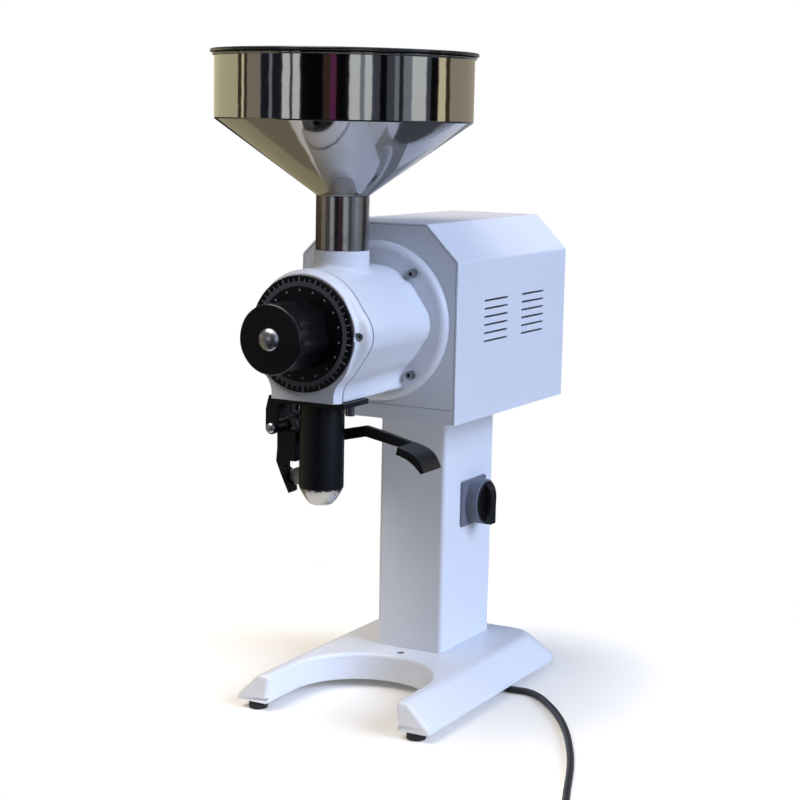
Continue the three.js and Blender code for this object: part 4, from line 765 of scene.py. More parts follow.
rows = {"low_card": low_row, "neck_card": neck_row, "bowl_card": card_row, "high_card": high_row}
for (name, row), low, high in zip(rows.items(), card_levels, card_levels[1:]):
    card_ring(name, row, low, high)
mat_inner, mat_arc = 0.3, 5
mats = [("umber", -143, -62), ("navy", -62, 50), ("slate", 50, 88), ("slate", 88, 143), ("grey", 143, 180), ("moss", 180, 217)]
for i, (paint, start, end) in enumerate(mats):
    mat = bmesh.new()
    way = Matrix.Rotation(math.radians(start), 3, "Z") @ towards
    ends = [mat.verts.new(hopper_axis + way * reach + Vector((0, 0, 0.001))) for reach in (mat_inner, card_reach)]
    line = mat.edges.new(ends)
    sweep, steps = math.radians(end - start), round((end - start) / mat_arc)
    bmesh.ops.spin(mat, geom=[*ends, line], cent=hopper_axis, axis=(0, 0, 1), dvec=(0, 0, 0), angle=sweep, steps=steps)
    hang(mat, f"reflection_mat_{i}", paint)
print(len(card_row), "cards")

# %% [markdown]
# ## Stand
# The base is one aluminium casting: a sloped block with a round-ended bay between two arms,
# where the coffee bag stands. The mould and the powder coat leave every edge soft, so the
# edges are rounded before the hollow below and the small holes are cut.

# %% Base casting
base_front, base_back = -80.5, 232
outline = [
    (-107.7, base_front),
    (107.7, base_front),
    *arc(77.7, 202, 30, 0, 90, 10),
    *arc(-77.7, 202, 30, 90, 180, 10),
]
base = plate(outline, "Z", 8, 13.5)
top = [f for f in base.faces if f.normal.z > 0.9]
pushed = bmesh.ops.extrude_face_region(base, geom=top)["geom"]
bmesh.ops.delete(base, geom=top, context="FACES_ONLY")
for vert in [v for v in pushed if isinstance(v, bmesh.types.BMVert)]:
    vert.co.x *= 83.7 / 107.7
    vert.co.y = base_front + (vert.co.y - base_front) * (213 - base_front) / (base_back - base_front)
    vert.co.z = base_top
bay = plate([(-74.2, -110), (74.2, -110), *arc(0, -25, 74.2, 0, 180, 48)], "Z", 6, 39)
for vert in bay.verts:
    if vert.co.z > 20:
        vert.co.x *= 70.8 / 74.2
        vert.co.y = -25 + (vert.co.y + 25) * 70.8 / 74.2
base = cut(base, bay)
soften(base, 4.5, 5, 24, lambda e: max(v.co.z for v in e.verts) > base_top - 1)
soften(base, 1.6, 3, 40, lambda e: max(v.co.z for v in e.verts) < 9)
pocket = plate([(-99, 70), (99, 70), *arc(71, 197.5, 28, 0, 90, 8), *arc(-71, 197.5, 28, 90, 180, 8)], "Z", 6, 31)
for vert in pocket.verts:
    if vert.co.z > 20:
        vert.co.x *= 0.82
        vert.co.y = 70 + (vert.co.y - 70) * 0.91
base = cut(
    base,
    pocket,
    plate(disc(0, 135, 15), "Z", 20, 50),
    spun([(0, 20), (2.3, 20), (2.3, 33), (4.3, 36.7), (4.3, 39), (0, 39)], "Z", (0, 61, 0), 40),
)
boss_pad = plate([(92, 8), (118, 8), (118, 32), (92, 32)], "X", 16, 26)
boss_pad = cut(boss_pad, spun(rod(7.3, 14, 28), "X", (0, gland_y, gland_z), 48))
base = join(base, boss_pad, *[spun(rod(10, 8, 26), "Z", (x, 186, 0), 48) for x in (-82, 82)])
open_edges = [e for e in base.edges if e.is_boundary]
bmesh.ops.holes_fill(base, edges=open_edges, sides=0)
bmesh.ops.recalc_face_normals(base, faces=base.faces)
print("base:", len(open_edges), "open edges closed,", sum(not e.is_manifold for e in base.edges), "left")
piece("horseshoe_base", base, "stand", cast_coat, ["base_casting"], crease=24)

# %% [markdown]
# The feet are turned-edge rubber discs, with a moulded groove round them.

# %% Feet
foot_section = [(0, 0), (8.3, 0), (9.2, 0.4), (9.5, 1.2), (9.5, 5.2), (8.9, 5.6), (8.9, 6.4), (9.5, 6.8), (9.5, 7.7), (0, 7.7)]
feet = {
    "foot_front_left": (-89.2, -70, 0),
    "foot_front_right": (89.2, -70, 0),
    "foot_rear_left": (-82, 186, 0),
    "foot_rear_right": (82, 186, 0),
}
for name, spot in feet.items():
    piece(name.replace("foot", "rubber_foot"), spun(foot_section, "Z", spot, 56), "stand", nitrile, [name])

# %% [markdown]
# Screws with a hexagon socket repeat all over the machine. One function turns the head and the
# shank and sinks the socket, and a matrix puts each where it belongs.

# %% Socket screws
def socket_screw(head, height, shank, length, key, dome=0.4):
    """A screw that points along -Z with the underside of its head at zero."""
    section = [(0, -length), (shank - 0.4, -length), (shank, 0.4 - length), (shank, 0), (head, 0)]
    section += [(head, height - dome), *arc(head - dome, height - dome, dome, 0, 90, 3)[1:], (0, height)]
    bm = spun(section, "Z", (0, 0, 0), 40)
    return cut(bm, plate(arc(0, 0, key, 0, 360, 6)[:-1], "Z", height * 0.4, height + 2))


def put(bm, spot, way):
    """Turns a screw so that its head looks along the way, and puts it at the spot."""
    turned = Vector((0, 0, 1)).rotation_difference(Vector(way)).to_matrix().to_4x4()
    bmesh.ops.transform(bm, matrix=Matrix.Translation(Vector(spot)) @ turned, verts=bm.verts)
    return bm


base_screw = spun([(0, 21), (2, 21), (2, 33.3), (3.9, 36.4), (3.9, 36.7), (0, 36.7)], "Z", (0, 61, 0), 40)
base_screw = cut(base_screw, plate(disc(0, 61, 1.6, 6), "Z", 34.5, 38))
piece("base_screw_zinc", base_screw, "stand", zinc_plate, ["base_screw"])

# %% [markdown]
# The column is rectangular steel tube with rolled corners. The corners are what shows that it
# is a tube and not a box, so they get eight steps each.

# %% Column
column_low, column_high = 37.3, 291.4
column_middle = 78.6 + 112.5 / 2
column = cut(
    plate(rounded_box(0, column_middle, 38.25, 56.25, 5, 8), "Z", column_low, column_high),
    plate(rounded_box(0, column_middle, 35.25, 53.25, 2, 4), "Z", column_low - 2, column_high + 2),
)
piece("column_profile", column, "stand", sheet_coat, ["column_tube"], crease=40)

# %% [markdown]
# ## Motor housing
# The cover is one sheet wrapped over the top, with two folds at each shoulder. Its section is
# drawn as a line with an inner and an outer side and pushed back along the machine. The vent
# slots are laser cut, so their edges stay crisp.

# %% Cover
def cover_line(inset):
    """Right half of the cover's section from its foot to the top, at a distance inside it."""
    x, z = 86.5 - inset, housing_top - inset
    slant = 35 - inset * (2 - math.sqrt(2))
    bend = 4 - inset
    back = bend * math.tan(math.pi / 8)
    return [
        (x, housing_bottom),
        *arc(x - bend, z - slant - back, bend, 0, 45, 6),
        *arc(x - slant - back, z - bend, bend, 45, 90, 6),
    ]


housing_length = 256.2
outer, inner = cover_line(0), cover_line(2)
section = outer + [(-x, z) for x, z in reversed(outer)] + [(-x, z) for x, z in inner] + inner[::-1]
cover = plate(section, "Y", 0, housing_length)
soften(cover, 0.4, 2, 60, lambda e: abs(e.verts[0].co.y - e.verts[1].co.y) < 0.01)
slots = []
for row in range(6):
    for start in (60, 147):
        z = axis_z + (row - 2.5) * 8.05
        for side in (-1, 1):
            slots.append(
                plate(rounded_box(start + 27, z, 27, 1, 0.95, 4), "X", side * 80, side * 90)
            )
cover = cut(cover, *slots)
piece("wrapped_cover", cover, "stand", sheet_coat, ["housing_cover"], crease=20)

# %% [markdown]
# The front plate, the back plate and the folded tray close the cover. Each keeps a hairline gap
# to its neighbour, which is what draws the seams.

# %% Plates and tray
edge = 2.3
lip_top = housing_bottom + 14.2
half = 86.5 - edge
line = [(half, lip_top + 0.3), *cover_line(edge)[1:]]
panel = line + [(-x, z) for x, z in reversed(line)]
front_plate = soften(plate(panel, "Y", 0, 3), 1.1, 3, 60, lambda e: max(v.co.y for v in e.verts) < 0.1)
holes = [spun(rod(3.4, -2, 5), "Y", (x, 0, axis_z + z), 32) for x, z in flange_screws]
front_plate = cut(front_plate, spun(rod(14, -2, 5), "Y", (0, 0, axis_z), 48), *holes)
piece("front_panel", front_plate, "stand", sheet_coat, ["housing_front_plate"])

back_start = housing_length - 2
back_plate = soften(plate(panel, "Y", back_start, housing_length), 0.5, 2, 60, lambda e: min(v.co.y for v in e.verts) > 256)
piece("back_panel", back_plate, "stand", sheet_coat, ["housing_back_plate"])


def slab(x, front, back, low, high):
    return plate([(-x, front), (x, front), (x, back), (-x, back)], "Z", low, high)


tray = soften(slab(half, 0, housing_length, housing_bottom, lip_top), 0.9, 3, 60, lambda e: max(v.co.z for v in e.verts) < lip_top - 1)
tray = cut(
    tray,
    slab(half - 2, 3, back_start, housing_bottom + 2, lip_top + 4),
    spun(rod(22, housing_bottom - 2, housing_bottom + 6), "Z", (0, 135, 0), 56),
)
piece("folded_tray", tray, "stand", sheet_coat, ["housing_tray"])

# %% Screws of the back plate
for i, (x, z) in enumerate([(-70, 318), (70, 318), (-70, 430), (70, 430)]):
    screw = put(socket_screw(3.4, 1.8, 1.5, 1.5, 1.5, 1.2), (x, housing_length - 0.6, z), (0, 1, 0))
    piece(f"back_screw_{i + 1}", screw, "stand", zinc_plate)

# %% [markdown]
# ## Head
# The head is a casting: a barrel with two screw ears and a square outlet foot, a round flange
# and an upright collar. Real castings have no sharp inner corner. So the rough shapes are
# joined, wrapped in one even skin by a voxel remesh, and relaxed until fillets form. Then the
# seam, the flange's back and the collar's top are sliced flat, as the foundry would mill them.

# %% Outline of the head
head_radius, ear_radius, ear_reach, ear_lift = 58.5, 28, 37, 0.5
ear_screw_x = 55.5
foot_half, foot_drop, fillet = 34, 63, 22
outlet_screw_x = 30


def head_outline(fine=3):
    """Outline of the head round the shaft's axis: a round with ears and an outlet foot."""
    lean = math.degrees(math.acos((head_radius - ear_radius) / math.hypot(ear_reach, ear_lift)))
    ear = math.degrees(math.atan2(ear_lift, ear_reach))
    fx = foot_half + fillet
    fz = -math.sqrt((head_radius + fillet) ** 2 - fx**2)
    hollow = math.degrees(math.atan2(fz, fx))
    right_side = [
        (foot_half, -foot_drop),
        *arc(fx, fz, fillet, 180, 180 + hollow, 4 * fine),
        *arc(0, 0, head_radius, hollow, ear - lean, 2 * fine)[1:],
        *arc(ear_reach, ear_lift, ear_radius, ear - lean, ear + lean, 5 * fine)[1:],
        *arc(0, 0, head_radius, ear + lean, 90, 7 * fine)[1:],
    ]
    return right_side + [(-x, z) for x, z in reversed(right_side[:-1])]


print("head outline of", len(head_outline()), "points")

# %% Rough casting
flange_back, flange_front, flange_radius = -0.3, -8.2, 78.5
bead = flange_back - flange_front
collar_top = axis_z + 72.9
barrel = plate([(x, axis_z + z) for x, z in head_outline()], "Y", seam_y - 4, flange_back - 1)
for vert in barrel.verts:
    share = 1 - 0.045 * (vert.co.y - seam_y) / (flange_back - seam_y)
    z = vert.co.z - axis_z
    vert.co.x *= share
    if z > 0.01 - foot_drop:
        vert.co.z = axis_z + z * share
rim = [(0, flange_front), *arc(flange_radius - bead, flange_front + bead, bead, -90, 0, 10)]
flange = spun([*rim, (0, flange_back)], "Y", (0, 0, axis_z), 128)
collar = spun(rod(25.8, axis_z, collar_top + 4), "Z", (0, hopper_y, 0), 96)
rough = join(barrel, collar)
mesh = bpy.data.meshes.new("rough_casting")
rough.to_mesh(mesh)
rough.free()
blank_casting = bpy.data.objects.new("rough_casting", mesh)
bpy.context.scene.collection.objects.link(blank_casting)
wrap = blank_casting.modifiers.new("wrap", "REMESH")
wrap.mode = "VOXEL"
wrap.voxel_size = 1.5
head = bmesh.new()
head.from_mesh(blank_casting.evaluated_get(bpy.context.evaluated_depsgraph_get()).to_mesh())
bpy.data.objects.remove(blank_casting)
for _ in range(3):
    bmesh.ops.smooth_vert(head, verts=head.verts, factor=0.5, use_axis_x=True, use_axis_y=True, use_axis_z=True)


def in_a_root(vert):
    """Near the collar's foot."""
    x, y, z = vert.co
    return math.hypot(x, y - hopper_y) < 34 and axis_z + 44 < z < axis_z + 66


roots = [v for v in head.verts if in_a_root(v)]
for _ in range(5):
    bmesh.ops.smooth_vert(head, verts=roots, factor=0.5, use_axis_x=True, use_axis_y=True, use_axis_z=True)
print("rough casting", len(head.faces), "faces,", len(roots), "points in its roots")

# %% Mill and drill the casting
def mill(bm, spot, way):
    """Slices off what lies beyond the plane, and closes the cut."""
    made = bmesh.ops.bisect_plane(
        bm, geom=[*bm.verts, *bm.edges, *bm.faces], dist=0.0005, plane_co=spot, plane_no=way, clear_outer=True
    )["geom_cut"]
    edges = [e for e in made if isinstance(e, bmesh.types.BMEdge) and len(e.link_faces) == 1]
    bmesh.ops.holes_fill(bm, edges=edges, sides=0)


mill(head, (0, seam_y, 0), (0, -1, 0))
mill(head, (0, flange_back - 0.5, 0), (0, 1, 0))
mill(head, (0, 0, collar_top), (0, 0, 1))
seam_lip = 0.8
bmesh.ops.bisect_plane(
    head, geom=[*head.verts, *head.edges, *head.faces], dist=0.0005, plane_co=(0, seam_y + seam_lip, 0), plane_no=(0, 1, 0)
)
at_seam = [v for v in head.verts if abs(v.co.y - seam_y) < 0.001]
outwards = [Vector((v.normal.x, 0, v.normal.z)).normalized() for v in at_seam]
for vert, way in zip(at_seam, outwards):
    vert.co -= way * seam_lip
bmesh.ops.recalc_face_normals(head, faces=head.faces)
bore = [(0, -130), (51.5, -130), (51.5, -89), (30, -89), (30, -44), (8.8, -44), (8.8, 4), (0, 4)]
tools = [
    spun(bore, "Y", (0, 0, axis_z), 72),
    spun(rod(22.3, axis_z, collar_top + 4), "Z", (0, hopper_y, 0), 64),
    spun(rod(15.5, outlet_bottom - 4, axis_z - 41), "Z", (0, spout_y, 0), 48),
]
for side in (-1, 1):
    tools.append(spun(rod(2.3, -130, -113.4), "Y", (side * ear_screw_x, 0, axis_z + ear_lift), 24))
    tools.append(spun(rod(2.8, outlet_bottom - 4, outlet_bottom + 16), "Z", (side * outlet_screw_x, spout_y, 0), 24))
for x, z in flange_screws:
    tools.append(spun(rod(3.4, -12, 4), "Y", (x, 0, axis_z + z), 32))
head = cut(join(head, flange), *tools)
piece("cast_head", head, "stand", cast_coat, ["grinding_chamber"], crease=38)

# %% [markdown]
# The front cover repeats the head's outline, then rolls in to the round face that carries the
# dial. The outline is pushed forwards as one block and sliced into levels, and each level is
# drawn in a share of the way from the head's outline to the face.

# %% Front cover
cover_back, cover_depth, cover_edge = seam_y - 0.3, 16.1, 5.2


def drawn_in(x, z, share):
    """Where a point of the head's outline has moved when the cover has drawn in by a share."""
    t = min(1, max(0, (z + 43) / 23))
    rounded = t * t * (3 - 2 * t)
    reach = math.hypot(x, z)
    face = (x * 55 / reach, z * 55 / reach)
    foot = (x - math.copysign(0.8, x), z + 0.8)
    goal = [f + (c - f) * rounded for f, c in zip(foot, face)]
    return x + (goal[0] - x) * share, z + (goal[1] - z) * share


rebate = 1.2
rim_back = cover_back - rebate
front = plate([(x, axis_z + z) for x, z in head_outline()], "Y", cover_back - cover_depth, rim_back)
spigot = plate([(x * 0.982, axis_z + z * 0.982) for x, z in head_outline()], "Y", rim_back - 2, cover_back)
shoulder = cover_back - cover_edge
inward = [0, 0.03, 0.1, 0.21, 0.42, 0.66, 0.82, 0.9, 0.95, 0.985, 1]
levels = len(inward) - 1
for k in range(levels):
    level = (0, shoulder - (cover_depth - cover_edge) * k / levels, 0)
    whole = [*front.verts, *front.edges, *front.faces]
    bmesh.ops.bisect_plane(front, geom=whole, dist=0.0005, plane_co=level, plane_no=(0, 1, 0))
for vert in front.verts:
    k = round((shoulder - vert.co.y) / (cover_depth - cover_edge) * levels)
    if k > 0:
        x, z = drawn_in(vert.co.x, vert.co.z - axis_z, inward[k])
        vert.co.x, vert.co.z = x, axis_z + z
soften(front, 0.4, 2, 60, lambda e: min(v.co.y for v in e.verts) > rim_back - 0.01)
screw_seat = cover_back - 4.4
tools = [spun(rod(13.5, -150, -118), "Y", (0, 0, axis_z), 64)]
for side in (-1, 1):
    step_hole = [(0, -150), (4.1, -150), (4.1, screw_seat), (2.3, screw_seat), (2.3, -120), (0, -120)]
    tools.append(spun(step_hole, "Y", (side * ear_screw_x, 0, axis_z + ear_lift), 40))
front = cut(join(front, spigot), *tools)
piece("cast_front_cover", front, "stand", cast_coat, ["chamber_front_cover"], crease=30)

# %% [markdown]
# A dark gasket closes the joint between the cover and the head. It is squeezed out almost flush
# with the paint, and shows as a thin line all round. Its darkness is partly the gasket's own and
# partly painted shade, standing for the shadow in the joint's groove.

# %% Gasket of the cover
# The gasket's dark line is partly painted shade for the shadow in the joint
gasket = plate([(x * 0.995, axis_z + z * 0.995) for x, z in head_outline()], "Y", rim_back + 0.05, seam_y - 0.05)
hollow = plate([(x * 0.983, axis_z + z * 0.983) for x, z in head_outline()], "Y", rim_back - 2, seam_y + 2)
piece("joint_gasket_painted_shade", cut(gasket, hollow), "stand", nitrile)

# %% Screws of the head
for name, side in (("cover_screw_left", -1), ("cover_screw_right", 1)):
    screw = socket_screw(3.6, 3.7, 2, 13.7, 1.9)
    put(screw, (side * ear_screw_x, screw_seat - 0.3, axis_z + ear_lift), (0, -1, 0))
    piece(name + "_zinc", screw, "stand", zinc_plate, [name])
for i, (x, z) in enumerate(flange_screws):
    screw = put(socket_screw(4.2, 6, 3, 19.3, 2.4), (x, flange_front - 0.3, axis_z + z), (0, -1, 0))
    piece(f"flange_screw_{i + 1}_zinc", screw, "stand", zinc_plate, [f"flange_screw_{i + 1}"])

# %% [markdown]
# ## Dial and knob
# The dial is a turned disc with a small bevel. Its scale is screen printed: a dark grey band, a
# ring of dots, and ticks of three lengths. Thin raised strips stand for the ink, because then
# the scale stays crisp however close the camera comes.

# %% Dial disc
dial_back, dial_front = -139.7, -142.7
dial = [(8.5, dial_front), (52.9, dial_front), *arc(52.95, dial_front + 0.8, 0.8, -90, 0, 4), (53.75, dial_back), (8.5, dial_back), (8.5, dial_front)]
piece("turned_dial", spun(dial, "Y", (0, 0, axis_z), 144), "dial", dial_anodised, ["dial_disc"])
ink_low, ink_high = dial_front + 0.1, dial_front - 0.06
band = [(43.8, ink_low), (48.1, ink_low), (48.1, ink_high), (43.8, ink_high), (43.8, ink_low)]
piece("dial_band", spun(band, "Y", (0, 0, axis_z), 144), "dial", dial_band)

# %% Dial ticks and dots
marks = bmesh.new()


def ink(bm, radius, length, width, bearing):
    """A strip of ink that lies along a radius of the dial."""
    spot = Matrix.Translation((0, (ink_low + ink_high) / 2, axis_z)) @ Matrix.Rotation(math.radians(bearing), 4, "Y")
    shape = Matrix.Translation((0, 0, radius)) @ Matrix.Diagonal((width, ink_low - ink_high, length, 1))
    bmesh.ops.create_cube(bm, size=1, matrix=spot @ shape)


for k in range(54):
    length = 4.4 if k % 3 == 0 else 2.8
    ink(marks, 48.2 + length / 2, length, 0.8 if k % 3 == 0 else 0.6, 20 / 3 * k - 3)
for k in range(18):
    spot = Matrix.Rotation(math.radians(20 * k - 3), 4, "Y") @ Vector((0, 0, 40.3))
    dot = Matrix.Translation((spot.x, (ink_low + ink_high) / 2, axis_z + spot.z)) @ Matrix.Rotation(math.pi / 2, 4, "X")
    bmesh.ops.create_cone(
        marks, cap_ends=True, segments=16, radius1=0.95, radius2=0.95, depth=ink_low - ink_high, matrix=dot
    )
piece("dial_scale", marks, "dial", dial_print)

# %% [markdown]
# The knob is a long moulding with seven shallow lobes and a round front disc. A circle of points
# is pushed back in steps, and at each step the circle's radius follows a wave whose height says
# how deep the flutes are there.

# %% Knob
knob_front, knob_back, knob_radius = -196.1, -143.0, 32
knob = bmesh.new()
corners = bmesh.ops.create_circle(knob, cap_ends=True, radius=knob_radius, segments=154)["verts"]
bmesh.ops.rotate(knob, verts=corners, cent=(0, 0, 0), matrix=Matrix.Rotation(math.pi / 2, 3, "X"))
bmesh.ops.translate(knob, verts=corners, vec=(0, knob_front, 0))


def wave(vert, inset, depth, y):
    angle = math.atan2(vert.co.x, vert.co.z)
    radius = knob_radius - inset - depth * (0.5 - 0.5 * math.cos(7 * angle)) ** 0.8
    vert.co = (radius * math.sin(angle), y, radius * math.cos(angle))


stations = [(0, 2.2, 0.1), (0.15, 1.5, 0.12), (0.6, 0.7, 0.15), (1.3, 0.2, 0.2), (2.4, 0, 0.25), (5, 0, 0.4)]
stations += [(6, 0.2, 1.2), (7, 0.5, 2.4), (8, 0.6, 3.2), (9.2, 0.4, 3.4), (13, 0.1, 3.3), (30, 0, 3.2)]
stations += [(50, 0, 3.2), (52.2, 0, 3.2), (52.8, 0.3, 3.2), (53.1, 0.9, 3.2)]
cap = knob.faces[:]
for vert in corners:
    wave(vert, stations[0][1], stations[0][2], knob_front)
for along, inset, depth in stations[1:]:
    pushed = bmesh.ops.extrude_face_region(knob, geom=cap)["geom"]
    if along > stations[1][0]:
        bmesh.ops.delete(knob, geom=cap, context="FACES_ONLY")
    cap = [f for f in pushed if isinstance(f, bmesh.types.BMFace)]
    for vert in [v for v in pushed if isinstance(v, bmesh.types.BMVert)]:
        wave(vert, inset, depth, knob_front + along)
bmesh.ops.recalc_face_normals(knob, faces=knob.faces)
bmesh.ops.translate(knob, verts=knob.verts, vec=(0, 0, axis_z))
stem_end = -139.4 - 26
hole = [(0, -200), (3.5, -200), (3.5, stem_end - 0.5), (8.5, stem_end - 0.5), (8.5, -140), (0, -140)]
knob = cut(knob, spun(hole, "Y", (0, 0, axis_z), 64))
piece("lobed_knob", knob, "dial", knob_phenolic, ["adjuster_knob"], crease=34)

# %% Dome screw of the knob
dome_back = knob_front - 0.3
dome = [(0, -201.8), *[(10.5 * math.sin(a), dome_back - 5.4 * math.cos(a)) for a in [math.radians(9 * k) for k in range(1, 10)]]]
dome += [(10.5, dome_back), (3, dome_back), (3, stem_end + 7), (0, stem_end + 7)]
piece("dome_screw", spun(dome, "Y", (0, 0, axis_z), 72), "dial", bright_chrome, ["knob_screw"])

# %% [markdown]
# ## Outlet and spout
# A steel plate under the head carries the spout and, on its left, the two lugs of the bag
# clamp. Pressed and welded steel has small even edges, so each part is softened on its own
# before they are joined.

# %% Outlet bracket
plate_top, plate_bottom = outlet_bottom - 0.3, outlet_bottom - 5.3
pivot_x, pivot_z = -47, plate_bottom - 26.1
lug_front, lug_back = spout_y - 15, spout_y + 33.5 + 4.5
front_edge, rear_edge = spout_y - 24, spout_y + 22.5
outline = [
    (37, front_edge),
    (37, rear_edge),
    (-37, rear_edge),
    (-37, lug_back),
    (-50, lug_back),
    (-50, lug_front),
    (-37.3, lug_front),
    (-37.3, front_edge),
]
bracket = soften(plate(outline, "Z", plate_bottom, plate_top), 0.7, 2, 40)
lug = [(-38, plate_top - 0.5), (-50, plate_top - 0.5), (-53.2, plate_top - 13), *arc(pivot_x, pivot_z, 6.2, 180, 360, 20)]
lugs = [soften(plate(lug, "Y", y, y + 4.5), 0.6, 2, 60) for y in (lug_front, lug_back - 4.5)]
web = [(lug_front + 1, plate_top - 2), (lug_back - 1, plate_top - 2), (lug_back - 1, pivot_z + 10), (lug_front + 1, pivot_z + 10)]
bracket = cut(
    join(bracket, *lugs, plate(web, "X", -40.5, -37.5)),
    spun(rod(15.5, plate_bottom - 4, plate_top + 4), "Z", (0, spout_y, 0), 56),
    spun(rod(2.8, plate_bottom - 4, plate_top + 4), "Z", (outlet_screw_x, spout_y, 0), 28),
    spun(rod(2.8, plate_bottom - 4, plate_top + 4), "Z", (-outlet_screw_x, spout_y, 0), 28),
    spun(rod(3.7, lug_front - 4, lug_back + 4), "Y", (pivot_x, 0, pivot_z), 36),
)
piece("enamelled_bracket", bracket, "stand", black_enamel, ["outlet_bracket"])

# %% Spout tube and tip
spout_top = plate_bottom - 0.3
spout_low = spout_top - 79.5
tube = [(18.5, spout_low), (20.6, spout_low), (21.1, spout_low + 0.5), (21.1, spout_top - 0.5), (20.6, spout_top), (18.5, spout_top), (18.5, spout_low)]
piece("spout_pipe", spun(tube, "Z", (0, spout_y, 0), 96), "stand", black_enamel, ["spout_tube"])
tip_top, tip_low = spout_low - 0.3, spout_low - 15.8
tip = [
    (8.2, tip_low + 0.3),
    (9.4, tip_low),
    (10.6, tip_low + 0.6),
    (12.2, tip_low + 2.1),
    (14.4, tip_low + 4.8),
    (16.6, tip_low + 8),
    (18.5, tip_low + 11.2),
    (19.6, tip_top - 2.2),
    (20.1, tip_top - 0.9),
    (19.9, tip_top),
    (18.1, tip_top),
    (18.1, tip_top - 1.5),
    (8.2, tip_low + 1.6),
    (8.2, tip_low + 0.3),
]
piece("turned_tip", spun(tip, "Z", (0, spout_y, 0), 96), "stand", turned_aluminium, ["spout_tip"])
# The outlet screws take the paler copy of the zinc, whose lighter colour is a painted highlight
for name, side in (("outlet_screw_left", -1), ("outlet_screw_right", 1)):
    screw = put(socket_screw(4.5, 9, 2.5, 19.6, 2.4), (side * outlet_screw_x, spout_y, plate_bottom - 0.3), (0, 0, -1))
    piece(name + "_zinc", screw, "stand", zinc_with_painted_highlight, [name])

# %% [markdown]
# The bag clamp is one bell crank: a hub on the pin, a jaw that presses a rubber buffer against
# the spout, and a bar that passes behind the spout to a curved thumb pad. The outlines run as
# smooth lines through a few chosen points.

# %% Bag clamp lever
def from_pivot(points, size):
    return [(pivot_x + x * size, pivot_z + z * size) for x, z in points]


jaw_drop, lever_reach = 62.7, 157
buffer_radius, buffer_x, buffer_z = 8.1, -29.5, pivot_z - 47.46
jaw_outer = from_pivot([(0.016, -0.05), (0.019, -0.319), (0.002, -0.523), (0.093, -0.729), (0.228, -1), (0.278, -0.965)], jaw_drop)
jaw = [
    *jaw_outer,
    *arc(buffer_x, buffer_z, buffer_radius + 0.3, -95, -235, 18),
    (pivot_x + 9.2, buffer_z + buffer_radius + 0.3),
    (pivot_x + 9.2, pivot_z - 31.5),
    (pivot_x + 22, pivot_z - 31.5),
    (pivot_x + 22, pivot_z - 3),
]
bar_upper = [(0.13, -0.06), (0.346, -0.01), (0.505, 0.026), (0.626, 0.003), (0.84, -0.048)]
bar_lower = [(0.84, -0.1), (0.626, -0.062), (0.505, -0.04), (0, -0.162)]
bar = [
    (pivot_x, pivot_z + 5.7),
    (pivot_x + 6, pivot_z - 6),
    *from_pivot(bar_upper, lever_reach),
    *from_pivot(bar_lower, lever_reach),
    (pivot_x - 3, pivot_z - 3),
]
pad_upper = eased([(0.82, -0.043), (0.848, -0.05), (0.915, -0.072), (0.966, -0.112), (1, -0.178)])
pad_lower = eased([(0.978, -0.189), (0.938, -0.15), (0.888, -0.116), (0.834, -0.096), (0.81, -0.092)])
pad = from_pivot(pad_upper + pad_lower, lever_reach)
hub_front, hub_back = spout_y - 15 + 4.8, spout_y + 33.2
bar_back = spout_y + 31.2
lever = join(
    spun(rod(6, hub_front, hub_back, 0.4), "Y", (pivot_x, 0, pivot_z), 48),
    soften(plate(jaw, "Y", spout_y - 6, spout_y + 6), 0.6, 2, 40),
    soften(plate(bar, "Y", bar_back - 6, bar_back), 0.7, 2, 20),
    soften(plate(pad, "Y", bar_back - 34, bar_back + 0.3), 0.8, 3, 40),
)
lever = cut(lever, spun(rod(3.7, hub_front - 4, hub_back + 4), "Y", (pivot_x, 0, pivot_z), 36))
piece("clamp_crank", lever, "clamp", black_enamel, ["clamp_lever"])

# %% Buffer, pin and spring
buffer_front = spout_y + 4.2
buffer = spun(rod(buffer_radius, buffer_front, buffer_front + 16, 0.7), "Y", (buffer_x, 0, buffer_z), 56)
piece("rubber_buffer", buffer, "clamp", grey_silicone, ["clamp_pad"])
pin_back = lug_front - 0.3
pin = [(0, pin_back - 3.4), *[(5 * math.sin(a), pin_back - 3.4 * math.cos(a)) for a in [math.radians(15 * k) for k in range(1, 7)]]]
pin += [(3.4, pin_back), (3.4, lug_back), (0, lug_back)]
piece("pivot_pin", spun(pin, "Y", (pivot_x, 0, pivot_z), 48), "stand", bright_chrome, ["clamp_pin"])

spring_start = spout_y + 9.5
lean = 7.6 * math.sqrt(0.5)
wire = [Vector((-lean, spring_start, 24)), Vector((-lean, spring_start, 16))]
for i in range(-2, 81):
    angle = 2 * math.pi * i / 20
    wire.append(Vector((7.6 * math.cos(angle), spring_start + 2.6 * i / 20, -7.6 * math.sin(angle))))
wire.append(Vector((7.6, spring_start + 10.4, -7.6)))
spring_curve = bpy.data.curves.new("torsion_spring", "CURVE")
spring_curve.dimensions = "3D"
spring_curve.bevel_depth = 0.8 * MM
spring_curve.bevel_resolution = 3
spring_curve.use_fill_caps = True
spline = spring_curve.splines.new("POLY")
spline.points.add(len(wire) - 1)
for knot, spot in zip(spline.points, wire):
    knot.co = (*((spot + Vector((pivot_x, 0, pivot_z))) * MM + Vector((0, plate_depth, 0))), 1)
spring_curve.materials.append(zinc_plate)
spring = bpy.data.objects.new("torsion_spring", spring_curve)
bpy.context.scene.collection.objects.link(spring)
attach(spring, "clamp")
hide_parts("clamp_spring")

# %% [markdown]
# ## Hopper
# A spinner presses a steel disc over a form on the lathe, so the hopper is one half section
# spun round: a spigot in the collar, a neck, a steep cone, a short cylinder and a rolled rim. A
# mirror shows every facet, so it gets many steps.

